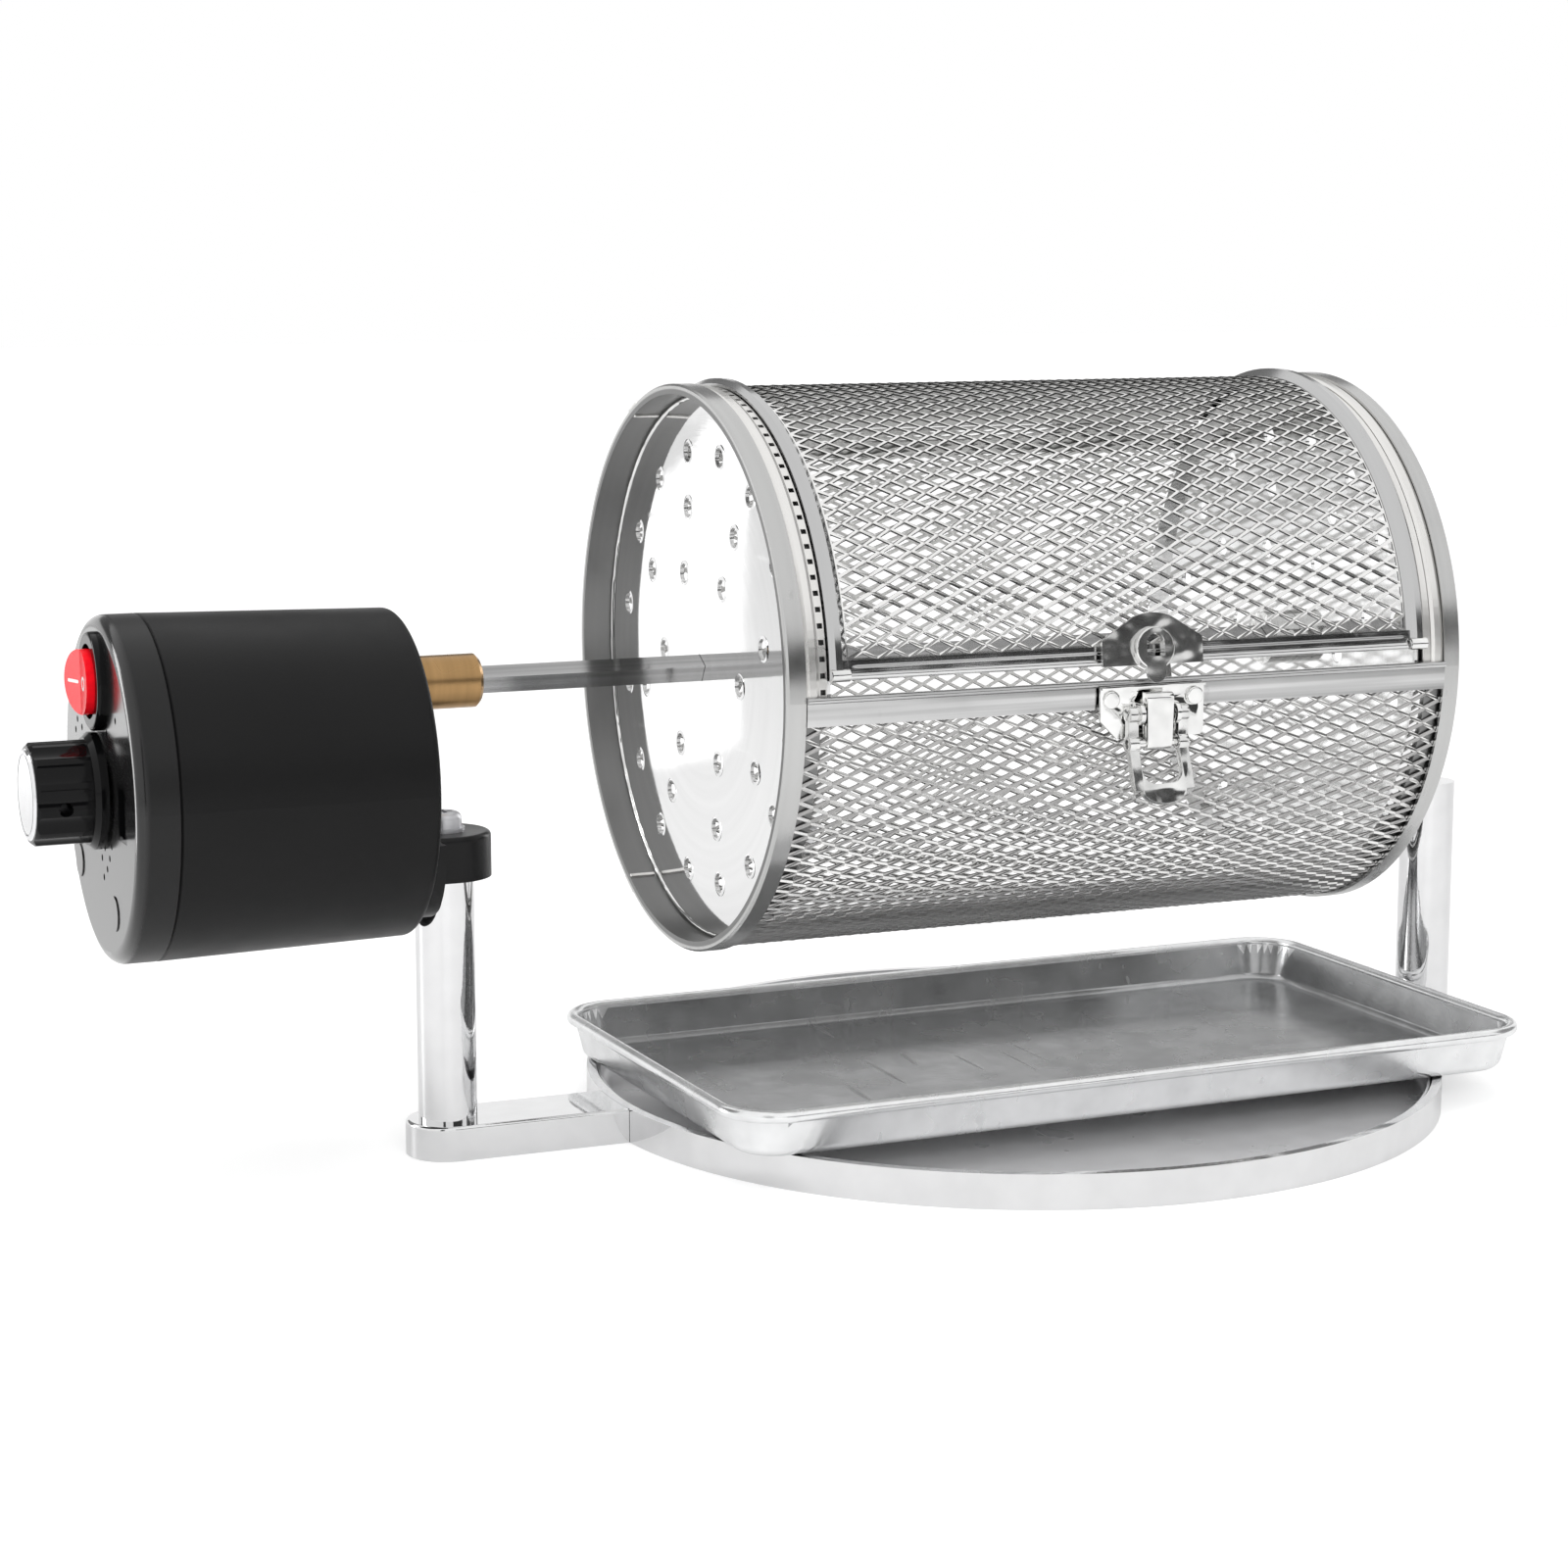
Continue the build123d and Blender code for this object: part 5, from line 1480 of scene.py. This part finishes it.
@dataclass(frozen=True)
class SwitchMarks:
    """White on and off marks on the rocker's two tilted halves."""

    pivot: Point = (-235.4 * MM, 0.0, 120.7 * MM)
    front: float = 5.45 * MM
    slope: float = 9.0
    tilt: float = 8.0
    line_start: float = 0.8 * MM
    line_end: float = 5.8 * MM
    line_width: float = 0.75 * MM
    line_round: float = 0.3 * MM
    ring_place: float = 3.4 * MM
    ring_radius: float = 1.65 * MM
    ring_width: float = 0.6 * MM
    ring_sides: int = 40
    lift: float = 0.05 * MM

    def build(self) -> None:
        """Model the line and the ring and lay them on the rocker."""
        line = self.line()
        self.lay(line, (self.line_start + self.line_end) / 2, self.tilt + self.slope)
        ring = pressed_ring(self.ring_sides, self.ring_radius, [(self.ring_width, 0.0)])
        self.lay(ring, -self.ring_place, self.tilt - self.slope)
        settle(join_all([line, ring]), "rocker_marks", MARK_WHITE, Body.ROCKER)

    def line(self) -> Object:
        """Model the flat line at the origin, with rounded ends.

        Returns:
            The line.
        """
        deselect()
        bpy.ops.mesh.primitive_plane_add(size=1.0)
        line = bpy.context.object
        line.scale = (self.line_end - self.line_start, self.line_width, 1.0)
        bake()
        with editing():
            bpy.ops.mesh.bevel(offset=self.line_round, segments=3, affect="VERTICES")
        return line

    def lay(self, mark: Object, place: float, turn: float) -> None:
        """Lay a flat mark on one half of the rocker.

        Args:
            mark: The mark, flat at the origin.
            place: Its distance from the crease, towards the back.
            turn: Turn of that half's face about the pin, in degrees.
        """
        thicken(mark, 2 * self.lift)
        tilt = math.radians(self.tilt)
        face = math.radians(turn)
        crease = Vector((-self.front * math.cos(tilt), -self.front * math.sin(tilt), 0.0))
        along = Vector((-math.sin(face), math.cos(face), 0.0))
        out = Vector((-math.cos(face), -math.sin(face), 0.0))
        centre = Vector(self.pivot) + crease + along * place
        axes = Matrix((along, out.cross(along), out)).transposed().to_4x4()
        mark.matrix_world = Matrix.Translation(centre) @ axes
        take(mark)
        bake()


@dataclass(frozen=True)
class MotorUnit:
    """The motor housing with its cap, knob, switch and bracket."""

    marks: SwitchMarks = SwitchMarks()

    def build(self) -> None:
        """Lay the switch's marks and dress the housing and its controls."""
        self.marks.build()
        dress(SATIN_BLACK, "motor_body")
        dress(FACED_BLACK, "front_cap", "cap_plugs")
        dress(GLOSS_BLACK, "speed_knob", "switch_housing", "power_inlet")
        dress(BRACKET_BLACK, "motor_bracket")
        dress(SPUN_SILVER, "knob_face")
        dress(SIGNAL_RED, "switch_rocker")
        dress(FASTENER_STEEL, "cap_screws", "pot_shaft")
        dress(BOARD_GREEN, "speed_board")
        dress(NYLON, "speed_pot")


# Studio


@dataclass(frozen=True)
class Card:
    """A studio card that only reflections see."""

    name: str
    centre: Point
    turn: Point
    width: float
    height: float
    shade: float
    corner: float = 0.0
    corner_steps: int = 8

    def build(self) -> None:
        """Hang the card."""
        deselect()
        turn = tuple(math.radians(angle) for angle in self.turn)
        bpy.ops.mesh.primitive_plane_add(size=1.0, location=self.centre, rotation=turn)
        card = bpy.context.object
        card.name = self.name
        card.scale = (self.width, self.height, 1.0)
        bake()
        if self.corner:
            with editing():
                bpy.ops.mesh.bevel(offset=self.corner, segments=self.corner_steps, affect="VERTICES")
        material = bpy.data.materials.new(self.name)
        material.use_nodes = True
        bench = Bench(material.node_tree)
        glow = bench.add("Emission", {"Color": WHITE, "Strength": self.shade})
        bench.add("OutputMaterial", {"Surface": glow})
        card.data.materials.append(material)
        for rays in ("camera", "diffuse", "shadow", "transmission"):
            setattr(card, "visible_" + rays, False)


@dataclass(frozen=True)
class Softbox:
    """A soft area lamp that the camera doesn't see."""

    name: str
    place: Point
    target: Point
    size: tuple[float, float]
    power: float

    def build(self) -> None:
        """Set the lamp up, turned to its target."""
        deselect()
        aim = (Vector(self.target) - Vector(self.place)).to_track_quat("-Z", "Y")
        bpy.ops.object.light_add(type="AREA", location=self.place, rotation=aim.to_euler())
        lamp = bpy.context.object
        lamp.name = self.name
        lamp.data.shape = "RECTANGLE"
        lamp.data.size, lamp.data.size_y = self.size
        lamp.data.energy = self.power
        lamp.visible_camera = False
        lamp.visible_glossy = False


@dataclass(frozen=True)
class Studio:
    """Floor, light and camera."""

    floor_size: float = 12.0
    floor_colour: Colour = (0.9, 0.9, 0.9)
    floor_rough: float = 0.5
    floor_gloss: float = 0.2
    seen_lift: float = 0.3
    mirrored_lift: float = 0.05
    sky_fill: float = 0.78
    camera_place: Point = (-0.38999, -0.76300, 0.22201)
    azimuth: float = -23.08
    elevation: float = 9.343
    lens: float = 76.62
    sensor: float = 36.0
    far_limit: float = 50.0
    lights: tuple[Piece, ...] = (
        Softbox("top_softbox", (-0.1, -0.1, 1.3), (0.0, 0.0, 0.1), (1.0, 0.7), 3.6),
        Softbox("left_softbox", (-1.1, -0.5, 0.8), (-0.1, 0.0, 0.1), (0.5, 0.8), 1.6),
        Softbox("front_softbox", (-0.4, -1.4, 0.75), (0.0, 0.0, 0.1), (0.9, 0.6), 10.0),
        Card("back_wall", (0.0, 2.2, 1.2), (90.0, 0.0, 0.0), 5.0, 1.0, 0.22),
        Card("front_left", (-0.95, -1.3, 0.6), (90.0, 0.0, 0.0), 0.3, 1.2, 0.08),
        Card("front_right", (0.75, -1.45, 0.32), (90.0, 0.0, 0.0), 1.7, 0.4, 0.05),
        Card("right_flag", (1.4, -0.2, 0.8), (90.0, 0.0, 90.0), 1.4, 1.2, 0.1),
        Card("disc_glow", (-1.43, 3.236, 0.002), (0.0, 0.0, 25.0), 0.3, 6.0, 1.3, 0.13),
        Card("left_strip", (-0.49, 0.23, 0.15), (90.0, 0.0, 45.0), 0.1, 0.3, 6.0),
    )

    def build(self) -> None:
        """Build the floor, the light and the camera."""
        self.lay_floor()
        self.light_world()
        for light in self.lights:
            light.build()
        self.set_camera()

    def lay_floor(self) -> None:
        """Lay a pale floor that keeps the object's shadow."""
        deselect()
        bpy.ops.mesh.primitive_plane_add(size=self.floor_size)
        floor = bpy.context.object
        floor.name = "studio_floor"
        material = bpy.data.materials.new("studio_floor")
        material.use_nodes = True
        bench = Bench(material.node_tree)
        path = bench.add("LightPath").outputs
        seen = bench.math("MULTIPLY", path["Is Camera Ray"], self.seen_lift)
        either = bench.math("MAXIMUM", path["Is Glossy Ray"], path["Is Transmission Ray"])
        mirrored = bench.math("MULTIPLY", either, self.mirrored_lift)
        surface = {
            "Base Color": (*self.floor_colour, 1.0),
            "Roughness": self.floor_rough,
            "Specular IOR Level": self.floor_gloss,
            "Emission Color": WHITE,
            "Emission Strength": bench.math("ADD", seen, mirrored),
        }
        bench.add("OutputMaterial", {"Surface": bench.add("BsdfPrincipled", surface)})
        floor.data.materials.append(material)

    def light_world(self) -> None:
        """Give the world a white background and a softer fill."""
        world = bpy.data.worlds.new("studio_world")
        bpy.context.scene.world = world
        world.use_nodes = True
        bench = Bench(world.node_tree)
        path = bench.add("LightPath").outputs
        either = bench.math("MAXIMUM", path["Is Camera Ray"], path["Is Glossy Ray"])
        seen = bench.math("MAXIMUM", either, path["Is Transmission Ray"])
        fill = bench.add("Background", {"Color": WHITE, "Strength": self.sky_fill})
        white = bench.add("Background", {"Color": WHITE, "Strength": 1.0})
        mix = bench.add("MixShader", {0: seen, 1: fill, 2: white})
        bench.add("OutputWorld", {"Surface": mix})

    def set_camera(self) -> None:
        """Set the camera at the photograph's viewing angle."""
        deselect()
        bpy.ops.object.camera_add(location=self.camera_place)
        camera = bpy.context.object
        camera.name = "photo_camera"
        azimuth = math.radians(self.azimuth)
        elevation = math.radians(self.elevation)
        level = math.cos(elevation)
        look = Vector((-math.sin(azimuth) * level, math.cos(azimuth) * level, -math.sin(elevation)))
        right = Vector((math.cos(azimuth), math.sin(azimuth), 0.0))
        turn = Matrix((right, right.cross(look), -look)).transposed()
        camera.rotation_euler = turn.to_euler()
        camera.data.lens = self.lens
        camera.data.sensor_width = self.sensor
        camera.data.sensor_fit = "HORIZONTAL"
        camera.data.clip_end = self.far_limit
        bpy.context.scene.camera = camera


def main() -> None:
    """Build every sub-assembly, then the studio."""
    logging.basicConfig(level=logging.INFO, format="%(name)s %(message)s")
    for assembly in (Drum(), Latch(), Stand(), CatchTray(), DriveLine(), MotorUnit()):
        assembly.build()
        LOG.info("%s dressed", type(assembly).__name__)
    Studio().build()
    bpy.context.scene.view_settings.view_transform = "Standard"


if __name__ == "__main__":
    main()
